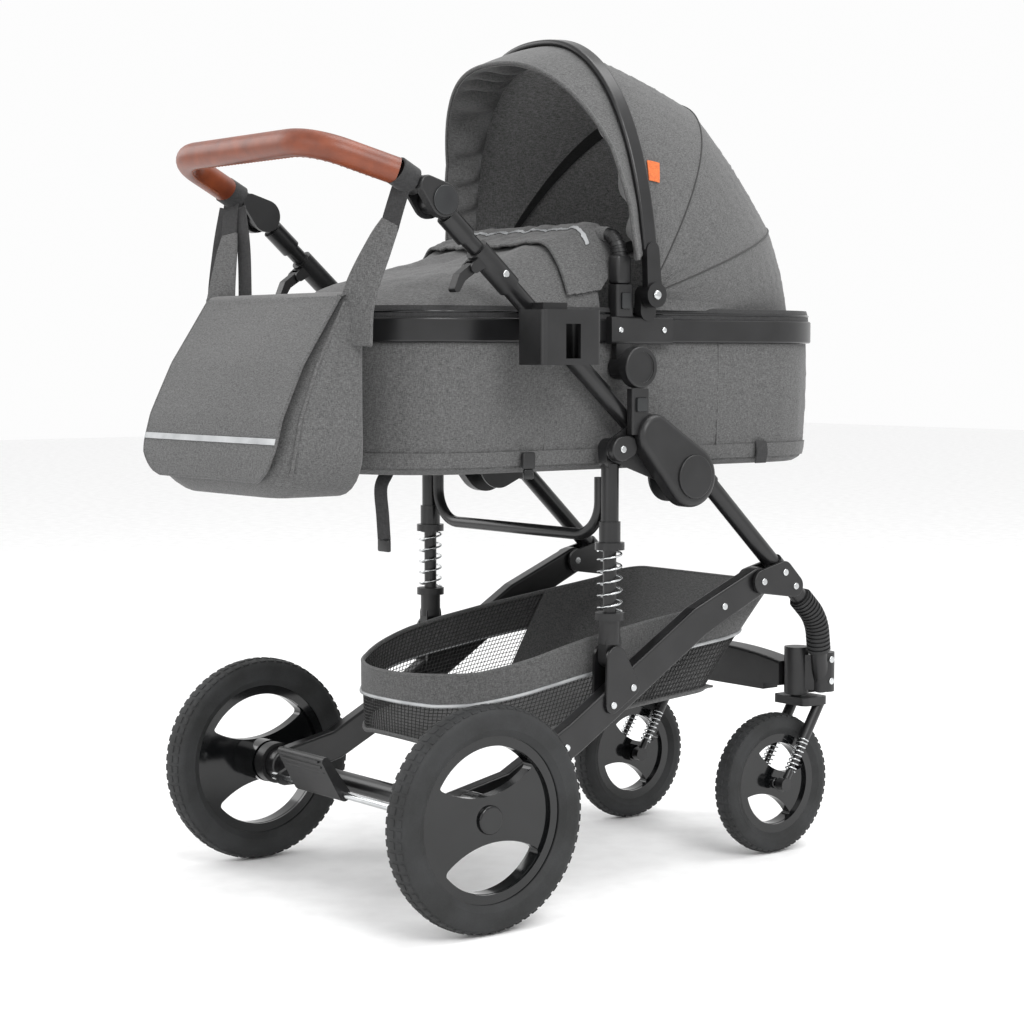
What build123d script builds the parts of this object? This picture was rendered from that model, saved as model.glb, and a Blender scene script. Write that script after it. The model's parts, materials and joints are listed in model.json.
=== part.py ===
"""Baby stroller with a carry cot: four wheels, folding frame, tilting handle, folding hood and bag.

Millimetres. +X is the stroller's right side, +Y is the way it travels, +Z is up.
The origin is on the floor under the middle of the whole stroller.
Side-view places are written (y, z).
"""
from build123d import *
import os
from math import cos, radians, sin

# Driving dimensions
REAR_WHEEL_R = 145
FRONT_WHEEL_R = 102
REAR_WHEEL_X = 273
FRONT_WHEEL_X = 160
REAR_AXLE = (-253, 145)
FRONT_AXLE = (360, 102)
SWIVEL_Y = 410
SIDE_X = 206
TUBE_R = 12.5
TUBE_WALL = 1.6
RUNNING = 0.05

# Frame pivots, side view
MAIN_PIVOT = (126, 563)
EAR_PIVOT = (8, 603)
BEAM_PIVOT = (279, 408)
STRUT_FOOT = (9, 321)
HANDLE_JOINT = (-283, 921)

# Handle slope, from the main pivot to the handle joint
PUSH_DIR = (-0.7525, 0.6587)
TRIGGER_PIVOT = (-225, 839)
TRIGGER_BEND = (-243, 827)
TRIGGER_TIP = (-251, 812)
NECK_START = (-308, 939)
NECK_END = (-338, 955)
GRIP_R = 17.5
GRIP_BACK_Y = -437
GRIP_BACK_X = 162
GRIP_BACK_Z = 991

# Front leg
LEG_TOP = (158, 578)
LEG_BEND = (404, 345.5)
LEG_FOOT = (436, 236)
LEG_FOOT_X = 187
LEG_DIR = (0.7268, -0.6868)
CASTER_TOP_Z = 299
CASTER_LOW_Z = 229
CROWN_TOP_Z = 226
CROWN_LOW_Z = 213
FORK_SHOULDER = (432, 216)
FORK_LEG_X = 26

# Carry cot
COT_FOOT_Y = -335
COT_HEAD_Y = 490
COT_HALF_WIDTH = 187
COT_CORNER = 150
TUB_LOW_Z = 573
RIM_LOW_Z = 745
RIM_TOP_Z = 777
HOOD_PIVOT = (78, 809)
ARCH_ANGLE = 94
HOOD_ROUNDNESS = 2.4

COT_MIDDLE_Y = (COT_FOOT_Y + COT_HEAD_Y) / 2
COT_LENGTH = COT_HEAD_Y - COT_FOOT_Y


# ---------------------------------------------------------------- helpers
def both_sides(shape):
    """The right-hand shape and its mirror image as one group of separate solids."""
    return Compound([*shape.solids(), *mirror(shape, about=Plane.YZ).solids()])


def left_of(shape):
    """The left-hand copy of a right-hand shape."""
    return mirror(shape, about=Plane.YZ)


def hull_plate(circles, x_inner, x_outer):
    """A plate in the side plane whose outline wraps tightly round circles (y, z, radius)."""
    edges = [edge for y, z, r in circles for edge in (Pos(y, z) * Circle(r)).edges()]
    outline = make_hull(edges)
    return extrude(Plane.YZ.offset(x_inner) * outline, x_outer - x_inner)


def disc(centre, radius, x_inner, x_outer):
    """A cylinder across the stroller, centred on a side-view place."""
    return extrude(Plane.YZ.offset(x_inner) * Pos(*centre) * Circle(radius), x_outer - x_inner)


def block(x0, x1, y0, y1, z0, z1):
    """A plain block between two corners."""
    middle = Pos((x0 + x1) / 2, (y0 + y1) / 2, (z0 + z1) / 2)
    return middle * Box(x1 - x0, y1 - y0, z1 - z0)


def rod(start, end, radius):
    """A straight round bar between two points (x, y, z)."""
    line = Line(start, end)
    return sweep(Plane(origin=start, z_dir=line % 0) * Circle(radius), path=line)


def bent_rod(points, radius, bend):
    """A round bar along straight runs joined by arcs of one radius."""
    path = FilletPolyline(*points, radius=bend)
    return sweep(Plane(origin=path @ 0, z_dir=path % 0) * Circle(radius), path=path)


def along_push_tube(distance, sideways=0):
    """Side-view place at a distance from the main pivot along the push tube."""
    y = MAIN_PIVOT[0] + PUSH_DIR[0] * distance - PUSH_DIR[1] * sideways
    z = MAIN_PIVOT[1] + PUSH_DIR[1] * distance + PUSH_DIR[0] * sideways
    return (y, z)


def push_rod(start, end, radius, x=SIDE_X):
    """A bar along the push tube's axis between two distances from the main pivot."""
    y0, z0 = along_push_tube(start)
    y1, z1 = along_push_tube(end)
    return rod((x, y0, z0), (x, y1, z1), radius)


def rivet(y, z, x):
    """A domed rivet head that stands on a face at x."""
    head = Pos(x, y, z) * Rot(0, 90, 0) * Cylinder(5, 2.4, align=(Align.CENTER, Align.CENTER, Align.MIN))
    return fillet(head.edges().sort_by(Axis.X)[-1], 1.6)


# ---------------------------------------------------------------- wheels
def tyre(wheel_x, centre, outer_r, inner_r, width):
    """A rubber tyre with a rounded crown and flat bead."""
    half = width / 2
    shoulder = outer_r - 0.3 * (outer_r - inner_r)
    with BuildLine() as line:
        Polyline((-half + 5, inner_r), (half - 5, inner_r), (half, inner_r + 9), (half, shoulder - 4))
        Spline((half, shoulder - 4), (half * 0.72, outer_r - 3), (0, outer_r), (-half * 0.72, outer_r - 3),
               (-half, shoulder - 4))
        Polyline((-half, shoulder - 4), (-half, inner_r + 9), (-half + 5, inner_r))
    section = make_face(line.line)
    ring = revolve(Plane.XY * section, axis=Axis.X)
    return Pos(wheel_x, centre[0], centre[1]) * ring


def wheel_disc(wheel_x, centre, rim_r, opening_r, rim_width, web, turn, hub_r, hub_inner, bore):
    """Moulded wheel: rim, a bow-tie web with two round-backed openings, a long hub and a cap."""
    waist = 0.32 * opening_r
    flare = (0.87 * opening_r) ** 2
    rise = 0.32 * opening_r
    edge_r = (flare + rise**2) / (2 * rise)
    face = Circle(opening_r + 2)
    for side in (1, -1):
        window = Circle(opening_r) & (Pos(0, side * (waist + edge_r)) * Circle(edge_r))
        face -= fillet(window.vertices(), 0.08 * opening_r)
    web_disc = extrude(face, web / 2, both=True)
    rim = extrude(Circle(rim_r) - Circle(opening_r + 0.5), rim_width / 2, both=True)
    hub = Pos(0, 0, hub_inner) * Cylinder(hub_r, -hub_inner, align=(Align.CENTER, Align.CENTER, Align.MIN))
    cap = Cylinder(hub_r * 0.62, web / 2 + 5, align=(Align.CENTER, Align.CENTER, Align.MIN))
    wheel = web_disc + rim + hub + fillet(cap.edges().sort_by(Axis.Z)[-1], 3)
    from_inner_face = (Align.CENTER, Align.CENTER, Align.MIN)
    wheel -= Pos(0, 0, hub_inner) * Cylinder(bore, -hub_inner + web / 2, align=from_inner_face)
    return Pos(wheel_x, centre[0], centre[1]) * Rot(0, 90, 0) * Rot(0, 0, turn) * wheel


def rear_wheel():
    wheel = wheel_disc(REAR_WHEEL_X, REAR_AXLE, 107, 94, 26, 16, 95, 30, -33, 6 + RUNNING)
    return tyre(REAR_WHEEL_X, REAR_AXLE, REAR_WHEEL_R, 107.1, 40), wheel


def front_wheel():
    wheel = wheel_disc(FRONT_WHEEL_X, FRONT_AXLE, 73, 60, 24, 14, 70, 13, -16, 5 + RUNNING)
    wheel -= disc(FRONT_AXLE, 5 + RUNNING, FRONT_WHEEL_X - 40, FRONT_WHEEL_X + 40)
    return tyre(FRONT_WHEEL_X, FRONT_AXLE, FRONT_WHEEL_R, 73.1, 34), wheel


# ---------------------------------------------------------------- rear frame
BEAM_LINE = [(*BEAM_PIVOT, 20), (165, 358, 22), (-59, 219, 22), (-165, 165, 21), (*REAR_AXLE, 23)]
BEAM_INNER_X = 195
BEAM_OUTER_X = 217


def lower_beam():
    """Flat oval beam from the front bracket down to the rear axle."""
    beam = hull_plate(BEAM_LINE[0:2], BEAM_INNER_X, BEAM_OUTER_X)
    for first, second in zip(BEAM_LINE[1:-1], BEAM_LINE[2:]):
        beam += hull_plate([first, second], BEAM_INNER_X, BEAM_OUTER_X)
    faces = beam.faces().sort_by(Axis.X)
    beam = fillet(faces[0].edges() + faces[-1].edges(), 3.5)
    return beam - disc(BEAM_PIVOT, 5 + RUNNING, BEAM_INNER_X - 1, BEAM_OUTER_X + 1)


def axle_bracket():
    """Round wheel mount on the beam's outer face, with the axle pin."""
    drum = disc(REAR_AXLE, 29, BEAM_OUTER_X, 238)
    drum = fillet(drum.edges().sort_by(Axis.X)[-1], 3)
    return drum + disc(REAR_AXLE, 6, BEAM_OUTER_X, 280)


BRAKE_ROD = (-288, 138)


def rear_axle_tube():
    """Cross tube between the beams, with two lugs that carry the brake rod."""
    tube = disc(REAR_AXLE, 13, -BEAM_INNER_X, BEAM_INNER_X)
    for x in (-152, 144):
        tube += hull_plate([(*REAR_AXLE, 18), (*BRAKE_ROD, 10)], x, x + 8)
        tube -= disc(BRAKE_ROD, 5 + RUNNING, x - 1, x + 9)
    return tube


def brake_rod():
    return disc(BRAKE_ROD, 5, -172, 172)


def brake_pedal():
    """Ribbed foot plate clamped round the brake rod."""
    plate = hull_plate([(*BRAKE_ROD, 9), (-318, 186, 6)], -106, 6)
    for step in range(5):
        rib_y = BRAKE_ROD[0] - 12 - 5.2 * step
        rib_z = BRAKE_ROD[1] + 17 + 7.6 * step
        plate += block(-98, -2, rib_y - 6, rib_y + 6, rib_z - 1.5, rib_z + 1.5)
    return plate - disc(BRAKE_ROD, 5, -108, 8)


def strut_plate():
    """Plates on both faces of the beam that hold the strut's foot between them."""
    corners = [(*STRUT_FOOT, 17), (37, 279, 12), (2, 258, 12)]
    outer = hull_plate(corners, BEAM_OUTER_X + 0.2, BEAM_OUTER_X + 5)
    inner = hull_plate(corners, BEAM_INNER_X - 5, BEAM_INNER_X - 0.2)
    rim = fillet(outer.faces().sort_by(Axis.X)[-1].edges(), 2)
    return Compound([*rim.solids(), *inner.solids()])


def beam_rivets():
    places = [(37, 279, BEAM_OUTER_X + 5), (2, 258, BEAM_OUTER_X + 5)]
    places += [(210, 377, BEAM_OUTER_X), (-75, 208, BEAM_OUTER_X)]
    return both_sides(Compound([rivet(*place) for place in places]))


BASKET_HALF_WIDTH = 168
BASKET_REAR_Y = -217
BASKET_CORNER = 158
BASKET_TOP = [(-217, 299), (-160, 304), (-110, 316), (-55, 330), (0, 341), (100, 357), (300, 380), (368, 394)]
BASKET_BOTTOM = [(245, 252), (86, 240), (-190, 205), (-217, 215)]
BASKET_SIDE = BASKET_TOP + BASKET_BOTTOM
BASKET_HOLLOW = [(-213, 460), (-213, 218), (-189, 209), (86, 244), (243, 256), (362, 392), (362, 460)]


def basket_plan(inset):
    """Outline of the basket from above, with a wide round at the rear."""
    half = BASKET_HALF_WIDTH - inset
    length = 760 - 2 * inset
    middle = BASKET_REAR_Y + 380
    return Pos(0, middle) * RectangleRounded(2 * half, length, BASKET_CORNER - inset)


def basket():
    """Fabric basket, open at the top, hung between the lower beams."""
    wall = 4
    outline = make_face(Polyline(*BASKET_SIDE, close=True))
    outer = extrude(Plane.YZ.offset(-BASKET_HALF_WIDTH) * outline, 2 * BASKET_HALF_WIDTH)
    outer &= extrude(basket_plan(0), 420)
    hollow = make_face(Polyline(*BASKET_HOLLOW, close=True))
    inner = extrude(Plane.YZ.offset(-BASKET_HALF_WIDTH + wall) * hollow, 2 * (BASKET_HALF_WIDTH - wall))
    inner &= extrude(basket_plan(wall), 480)
    return outer - inner


# ---------------------------------------------------------------- rear struts
def strut_rod():
    """Upper half of a rear strut: eye, sleeve, collar and sliding rod."""
    y = EAR_PIVOT[0]
    eye = hull_plate([(*EAR_PIVOT, 14), (y, 585, 12)], 197, 215)
    eye -= disc(EAR_PIVOT, 5 + RUNNING, 196, 216)
    sleeve = Pos(SIDE_X, y, 528) * Cylinder(12, 110)
    collar = Pos(SIDE_X, y, 472) * Cylinder(20, 10)
    cup = Pos(SIDE_X, y, 490) * Cylinder(14.5, 30)
    slider = Pos(SIDE_X, y, 415) * Cylinder(9, 110)
    return eye + sleeve + collar + cup + slider


def strut_foot():
    """Lower half of a rear strut: collar and socket round the rod, and the foot above the beam."""
    y = EAR_PIVOT[0]
    collar = Pos(SIDE_X, y, 377) * Cylinder(20, 10)
    socket = Pos(SIDE_X, y, 359) * Cylinder(14.5, 38)
    foot = hull_plate([(*STRUT_FOOT, 14), (y, 345, 13)], 197, 215)
    well = Pos(SIDE_X, y, 364) * Cylinder(9 + RUNNING, 40)
    return collar + socket + foot - well


def cross_tube():
    """U-shaped tube that ties the two struts together under the cot."""
    y = EAR_PIVOT[0]
    x = SIDE_X - 20.5
    points = [(x, y, 564), (x, y, 484), (-x, y, 484), (-x, y, 564)]
    return bent_rod(points, 8, 48)


# ---------------------------------------------------------------- front chassis
def leg_path():
    points = [(SIDE_X, *LEG_TOP), (SIDE_X, *LEG_BEND), (LEG_FOOT_X, *LEG_FOOT)]
    return FilletPolyline(*points, radius=85)


def front_leg():
    """Bent front tube from the hinge housing down to the caster."""
    path = leg_path()
    section = Circle(TUBE_R) - Circle(TUBE_R - TUBE_WALL)
    return sweep(Plane(origin=path @ 0, z_dir=path % 0) * section, path=path)


def leg_sleeve():
    """Ribbed rubber sleeve over the bend of the leg."""
    path = leg_path()
    first, last, rings = 0.65, 0.852, 15
    sleeve = Part()
    for index in range(rings):
        share = first + (last - first) * index / (rings - 1)
        plane = Plane(origin=path @ share, z_dir=path % share)
        sleeve += plane * Cylinder(15.5, 10)
        sleeve += plane * Cylinder(17.5, 3.6)
    bore = sweep(Plane(origin=path @ 0, z_dir=path % 0) * Circle(TUBE_R + 0.02), path=path)
    return sleeve - bore


def on_leg(start, end, radius):
    """A bar on the leg's straight axis between two distances from its top."""
    y0, z0 = LEG_TOP[0] + LEG_DIR[0] * start, LEG_TOP[1] + LEG_DIR[1] * start
    y1, z1 = LEG_TOP[0] + LEG_DIR[0] * end, LEG_TOP[1] + LEG_DIR[1] * end
    return rod((SIDE_X, y0, z0), (SIDE_X, y1, z1), radius)


BRACKET_CORNERS = [(*BEAM_PIVOT, 17), (321, 419, 16), (342, 398, 16)]


def front_bracket():
    """Two cheeks joined by a sleeve on the leg; the lower beam turns between them."""
    outer = hull_plate(BRACKET_CORNERS, 219, 225)
    outer = fillet(outer.faces().sort_by(Axis.X)[-1].edges(), 2)
    inner = hull_plate(BRACKET_CORNERS, 187.5, 193)
    saddle = on_leg(212, 262, 15.5)
    bracket = outer + inner + saddle
    return bracket - on_leg(150, 300, TUBE_R + 0.1) - disc(BEAM_PIVOT, 5, 187, 224)


def pivot_pins():
    """Main hinge pins and beam pins, fixed in the front chassis."""
    main = disc(MAIN_PIVOT, 8, 193.2, 222.2)
    beam = disc(BEAM_PIVOT, 5, 187.5, 223.5)
    return both_sides(Compound([main, beam]))


def hinge_housing():
    """Inner plate of the main hinge, with the socket that holds the top of the leg."""
    plate = hull_plate([(*MAIN_PIVOT, 36), (172, 566, 20)], 189.6, 193.2)
    socket = on_leg(0, 42, 15)
    return plate + socket - on_leg(-5, 60, TUBE_R + 0.02)


TEARDROP = [(*MAIN_PIVOT, 42), (60, 620, 29)]


def hinge_cover():
    """Teardrop cover over the main hinge, with a raised round cap at its lower end."""
    shell = hull_plate(TEARDROP, 222.2, 246)
    shell = fillet(shell.faces().sort_by(Axis.X)[-1].edges(), 9)
    cap = fillet(disc(MAIN_PIVOT, 30, 245, 249).edges().sort_by(Axis.X)[-1], 2)
    return shell + cap


def adapter_post():
    """Upright post above the hinge cover that the cot's round adapter rests on."""
    post = block(222.5, 236, 22, 52, 622, 683.5)
    post = fillet(post.edges().filter_by(Axis.Z), 3)
    return post - hull_plate(TEARDROP, 222, 247) - block(229.9, 237, 27.5, 46.5, 652.5, 671.5)


def adapter_button():
    return fillet(block(233.2, 239, 28, 46, 653, 671).edges().filter_by(Axis.X), 2)


def caster_housing():
    """Upright caster barrel joined to the cup that holds the foot of the leg."""
    barrel = Pos(FRONT_WHEEL_X, SWIVEL_Y, 264) * Cylinder(18, CASTER_TOP_Z - CASTER_LOW_Z)
    cup = Pos(LEG_FOOT_X + 2, LEG_FOOT[0], 263) * Cylinder(17, 58)
    web = hull_between((FRONT_WHEEL_X, SWIVEL_Y, 12), (LEG_FOOT_X + 2, LEG_FOOT[0], 12), 236, 288)
    housing = barrel + cup + web
    housing -= Pos(FRONT_WHEEL_X, SWIVEL_Y, 260) * Cylinder(8 + RUNNING, 64)
    leg = sweep(Plane(origin=leg_path() @ 0, z_dir=leg_path() % 0) * Circle(TUBE_R + 0.02), path=leg_path())
    return housing - leg


def hull_between(first, second, z0, z1):
    """An upright web round two circles (x, y, radius)."""
    edges = [e for x, y, r in (first, second) for e in (Pos(x, y) * Circle(r)).edges()]
    return Pos(0, 0, z0) * extrude(make_hull(edges), z1 - z0)


def front_crossbar():
    """Deep bar with a softly arched top between the casters, and a thinner tray under it."""
    end = FRONT_WHEEL_X - 18.3
    with BuildLine() as line:
        Polyline((-end, 276), (-end, 240), (end, 240), (end, 276))
        ThreePointArc((end, 276), (0, 290), (-end, 276))
    bar = extrude(Plane.XZ.offset(-SWIVEL_Y + 18) * make_face(line.line), -38)
    bar = fillet(bar.edges().group_by(Axis.Z)[-1], 4)
    return bar + block(-105, 105, SWIVEL_Y - 14, SWIVEL_Y + 16, 230, 240)


def chassis_rivets():
    places = [(279, 408, 225), (321, 419, 225), (342, 398, 225)]
    low = [(LEG_FOOT[0], 282, LEG_FOOT_X + 19), (LEG_FOOT[0], 250, LEG_FOOT_X + 19)]
    return both_sides(Compound([rivet(*place) for place in places + low]))


# ---------------------------------------------------------------- casters
def fork_place(distance):
    """Side-view place at a distance below the fork's shoulder, towards the axle."""
    span_y, span_z = FRONT_AXLE[0] - FORK_SHOULDER[0], FRONT_AXLE[1] - FORK_SHOULDER[1]
    length = (span_y**2 + span_z**2) ** 0.5
    return (FORK_SHOULDER[0] + span_y / length * distance, FORK_SHOULDER[1] + span_z / length * distance)


FORK_LENGTH = ((FRONT_AXLE[0] - FORK_SHOULDER[0]) ** 2 + (FRONT_AXLE[1] - FORK_SHOULDER[1]) ** 2) ** 0.5


def fork():
    """Swivelling fork: stem, crown and two hollow legs."""
    stem = Pos(FRONT_WHEEL_X, SWIVEL_Y, 255) * Cylinder(8, 70)
    crown = block(FRONT_WHEEL_X - 34, FRONT_WHEEL_X + 34, 394, 444, CROWN_LOW_Z + 1, CROWN_TOP_Z)
    crown = fillet(crown.edges().filter_by(Axis.Z), 10)
    body = stem + crown
    for side in (-1, 1):
        x = FRONT_WHEEL_X + side * FORK_LEG_X
        body += rod((x, *fork_place(-2)), (x, *fork_place(72)), 8)
    for side in (-1, 1):
        x = FRONT_WHEEL_X + side * FORK_LEG_X
        body -= rod((x, *fork_place(30)), (x, *fork_place(80)), 4 + RUNNING)
    return body


def fork_slider():
    """Sprung lower part of the fork: two rods, two eyes and the wheel's axle."""
    axle = disc(FRONT_AXLE, 5, FRONT_WHEEL_X - 31, FRONT_WHEEL_X + 31)
    slider = axle
    for side in (-1, 1):
        x = FRONT_WHEEL_X + side * FORK_LEG_X
        slider += rod((x, *fork_place(46)), (x, *fork_place(FORK_LENGTH - 3)), 4)
        slider += disc(FRONT_AXLE, 10, x - 6.5, x + 6.5)
        slider += rod((x, *fork_place(FORK_LENGTH - 22)), (x, *fork_place(FORK_LENGTH - 4)), 5.6)
    return slider


def swivel_lock():
    """Flat tab in front of the caster barrel that locks the swivel."""
    tab = block(FRONT_WHEEL_X - 11, FRONT_WHEEL_X + 11, SWIVEL_Y + 18.6, SWIVEL_Y + 36, 229.6, 233.4)
    return fillet(tab.edges().filter_by(Axis.Z), 4)


# ---------------------------------------------------------------- push frame
CLAMP_LOW = 385
CLAMP_HIGH = 455
CLAMP_R = 15.6


def push_tube():
    """Straight tube from the main hinge up to the telescopic clamp."""
    tube = push_rod(0, 440, TUBE_R) + disc(MAIN_PIVOT, 17, 194, 218)
    tube -= push_rod(60, 441, 10.9)
    return tube - disc(MAIN_PIVOT, 8 + RUNNING, 193, 219)


def pivot_ear():
    """Ear on the push tube that carries the top of the rear strut, with its pin."""
    plate = hull_plate([(*EAR_PIVOT, 18), (62, 634, 16), (*MAIN_PIVOT, 20)], 218.8, 221.8)
    plate -= disc(MAIN_PIVOT, 9, 218, 222)
    boss = hull_plate([(*EAR_PIVOT, 17), (20, 606, 15)], 221.8, 233)
    boss = fillet(boss.faces().sort_by(Axis.X)[-1].edges(), 3)
    boss -= hull_plate([(TEARDROP[0][0], TEARDROP[0][1], 47), (60, 620, 31)], 221, 240)
    return plate + boss + disc(EAR_PIVOT, 5, 197, 220)


def tube_clamp():
    """Moulded collar at the top of the push tube, with a forked lug for the trigger."""
    lug = hull_plate([(*along_push_tube(440), 9), (*TRIGGER_PIVOT, 7)], 195, 217)
    lug -= hull_plate([(*TRIGGER_PIVOT, 8.5), (-243, 818, 12)], 198.6, 213.4)
    collar = push_rod(CLAMP_LOW, CLAMP_HIGH, CLAMP_R) + lug
    return collar - push_rod(CLAMP_LOW - 5, 441, TUBE_R + 0.02) - push_rod(440, CLAMP_HIGH + 30, 10.85)


def clamp_trigger():
    """Hooked finger trigger under the collar."""
    lever = hull_plate([(*TRIGGER_PIVOT, 6.5), (*TRIGGER_BEND, 6)], 199, 213)
    return lever + hull_plate([(*TRIGGER_BEND, 6), (*TRIGGER_TIP, 4.5)], 199, 213)


def cup_bracket():
    """Cup-holder bracket: a ring on the right push tube, an arm and an open-topped pocket."""
    ring = push_rod(308, 334, CLAMP_R)
    arm = block(206, 242, -136, -96, 762, 796)
    pocket = block(240, 296, -178, -82, 716, 786)
    pocket = fillet(pocket.edges().filter_by(Axis.Z), 8)
    hollow = fillet(block(245, 291, -173, -87, 721, 790).edges().filter_by(Axis.Z), 5)
    slot = block(289, 300, -142, -118, 724, 768)
    bracket = ring + arm + pocket - hollow - slot
    return bracket - push_rod(250, 420, TUBE_R + 0.02)


def push_rivets():
    clamp = along_push_tube(408)
    return both_sides(Compound([rivet(*clamp, SIDE_X + CLAMP_R), rivet(*EAR_PIVOT, 233)]))


# ---------------------------------------------------------------- handle
def handle_tube():
    """Telescopic inner tube with the fixed middle disc of the handle joint."""
    tube = push_rod(300, 480, 10.8) + push_rod(478, 518, 14) + push_rod(515, 534, 9.9)
    tube += disc(HANDLE_JOINT, 17, 196, 216)
    tube -= push_rod(299, 476, 9.2)
    return tube - disc(HANDLE_JOINT, 6 + RUNNING, 195, 217)


def handle_joint():
    """Tilting half of the handle joint: two cheeks, a bridge, the pin and the neck of the grip."""
    cheek = [(*HANDLE_JOINT, 22), (*NECK_START, 12)]
    outer = fillet(hull_plate(cheek, 217, 231).faces().sort_by(Axis.X)[-1].edges(), 2.5)
    joint = outer + hull_plate(cheek, 189.5, 195)
    joint += disc(NECK_START, 10, 190, 222)
    joint += disc(HANDLE_JOINT, 6, 190, 220)
    joint += rod((SIDE_X - 1, *NECK_START), (SIDE_X - 1, *NECK_END), 14)
    return joint - leather_grip()


def leather_grip():
    """Leather-covered handlebar, bent in a wide U."""
    points = [(SIDE_X - 1, *NECK_END), (GRIP_BACK_X, GRIP_BACK_Y, GRIP_BACK_Z),
              (-GRIP_BACK_X, GRIP_BACK_Y, GRIP_BACK_Z),
              (-SIDE_X + 1, *NECK_END)]
    return bent_rod(points, GRIP_R, 70)


# ---------------------------------------------------------------- changing bag
BAG_HALF_WIDTH = 176
BAG_LOOP = (-332, 930)


def bag():
    """Full changing bag with a bulging front, and the two straps that it hangs from."""
    with BuildLine() as line:
        Polyline((-352, 560), (-352, 797), (-385, 799))
        Spline((-385, 799), (-432, 735), (-468, 660), (-490, 590), (-478, 560))
        Spline((-478, 560), (-440, 548), (-370, 548), (-352, 560))
    body = extrude(Plane.YZ.offset(-BAG_HALF_WIDTH) * make_face(line.line), 2 * BAG_HALF_WIDTH)
    outline = RectangleRounded(2 * BAG_HALF_WIDTH, 300, 62)
    front = Pos(0, -420, 690) * Rot(90, 0, 0) * extrude(outline, 120, both=True)
    body &= front
    for side in (-1, 1):
        lean = (side * 0.24, 0.2, 0.95)
        strap = loft([Plane(origin=(side * 160, -366, 790), z_dir=lean) * Rectangle(5, 26),
                      Plane(origin=(side * 200, -332, 928), z_dir=lean) * Rectangle(5, 20)])
        body += strap + disc(BAG_LOOP, 4, *sorted((side * 192, side * 208)))
    return body


# ---------------------------------------------------------------- carry cot
def cot_plan(inset):
    """Rounded outline of the cot seen from above, drawn in by an inset."""
    outline = RectangleRounded(2 * (COT_HALF_WIDTH - inset), COT_LENGTH - 2 * inset, COT_CORNER - inset)
    return Pos(0, COT_MIDDLE_Y) * outline


def tub():
    """Fabric-covered body of the cot, open at the top."""
    outer = Pos(0, 0, TUB_LOW_Z) * extrude(cot_plan(4), RIM_LOW_Z - TUB_LOW_Z)
    outer = fillet(outer.edges().group_by(Axis.Z)[0], 14)
    inner = Pos(0, 0, TUB_LOW_Z + 14) * extrude(cot_plan(12), 200)
    return outer - inner


def cot_rim():
    """Oval tube round the top of the cot."""
    band = Pos(0, 0, RIM_LOW_Z) * extrude(cot_plan(-3) - cot_plan(9), RIM_TOP_Z - RIM_LOW_Z)
    return fillet(band.edges().group_by(Axis.Z)[0] + band.edges().group_by(Axis.Z)[-1], 3)


def rim_connector():
    """Moulded block on the rim that carries the adapter, the bumper socket and the hood pivot."""
    bar = fillet(block(190.2, 202, 14, 124, 743, 780).edges().filter_by(Axis.Y), 4)
    socket = fillet(block(180, 201, 24, 54, 780, 823).edges().filter_by(Axis.Z), 4)
    socket -= block(195.4, 202, 31, 47, 790, 812)
    post = hull_plate([(*HOOD_PIVOT, 14), (HOOD_PIVOT[0], 788, 14)], 190.4, 203.5)
    pin = disc(HOOD_PIVOT, 5, 203.5, 218)
    drop = block(190.2, 200, 24, 50, 700, 752)
    knob = fillet(disc((37, 712), 28, 222.3, 238).edges().sort_by(Axis.X)[-1], 3)
    knob -= fillet(disc((37, 712), 21, 236, 240).edges().sort_by(Axis.X)[0], 1)
    neck = disc((37, 712), 17, 187.4, 223)
    return bar + socket + post + pin + drop + knob + neck


def bumper_button():
    return fillet(block(197.2, 203, 31.5, 46.5, 790.5, 811.5).edges().filter_by(Axis.X), 2)


def bumper_bar():
    """Padded bar across the front of the occupant, plugged into the two sockets."""
    right = [(190, 38, 823.5), (190, 38, 862), (166, 34, 892)]
    points = right + [(-x, y, z) for x, y, z in reversed(right)]
    return bent_rod(points, 9.5, 22)


def boot_cover():
    """Crowned apron over the foot half of the cot."""
    with BuildLine() as line:
        Polyline((-332, RIM_TOP_Z + 0.4), (14, RIM_TOP_Z + 0.4), (14, 884))
        Spline((14, 884), (-20, 888), (-100, 850), (-215, 824), (-290, 812), (-332, RIM_TOP_Z + 0.4))
    side = extrude(Plane.YZ.offset(-185) * make_face(line.line), 370)
    plan = Pos(0, 0, 700) * extrude(cot_plan(9), 300)
    section = Plane.XZ.offset(400) * (Pos(0, 789) * RectangleRounded(2 * COT_HALF_WIDTH - 14, 200, 60))
    return side & plan & extrude(section, -500)


def hood_point(half_width, reach, turn):
    """A point of the hood's bow: across, and out from the pivot."""
    power = 2 / HOOD_ROUNDNESS
    across = half_width * abs(cos(turn)) ** power * (1 if cos(turn) >= 0 else -1)
    return (across, reach * sin(turn) ** power)


def bow_line(half_width, reach, start=8, steps=10):
    """The bow curve as a spline, from one side of the pivot over the top to the other."""
    turns = [radians(start + (180 - 2 * start) * index / steps) for index in range(steps + 1)]
    return Spline(*[hood_point(half_width, reach, turn) for turn in turns])


def hood_plane(angle):
    """The plane through both hood pivots that leans to an angle above the forward direction."""
    y, z = HOOD_PIVOT
    return Plane(origin=(0, y, z), x_dir=(1, 0, 0), z_dir=(0, -sin(radians(angle)), cos(radians(angle))))


def bow_section(half_width, reach, wall):
    """Thin section of the hood between two bow curves."""
    outer = bow_line(half_width, reach)
    inner = bow_line(half_width - wall, reach - wall)
    ends = [Line(outer @ 0, inner @ 0), Line(outer @ 1, inner @ 1)]
    return make_face([outer, inner, *ends])


def hood_panel(half_width, reach, low, high, wall=4):
    """Part of the hood swept round the pivot between two angles."""
    section = hood_plane(low) * bow_section(half_width, reach, wall)
    axis = Axis((0, *HOOD_PIVOT), (1, 0, 0))
    return revolve(section, axis=axis, revolution_arc=high - low)


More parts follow.
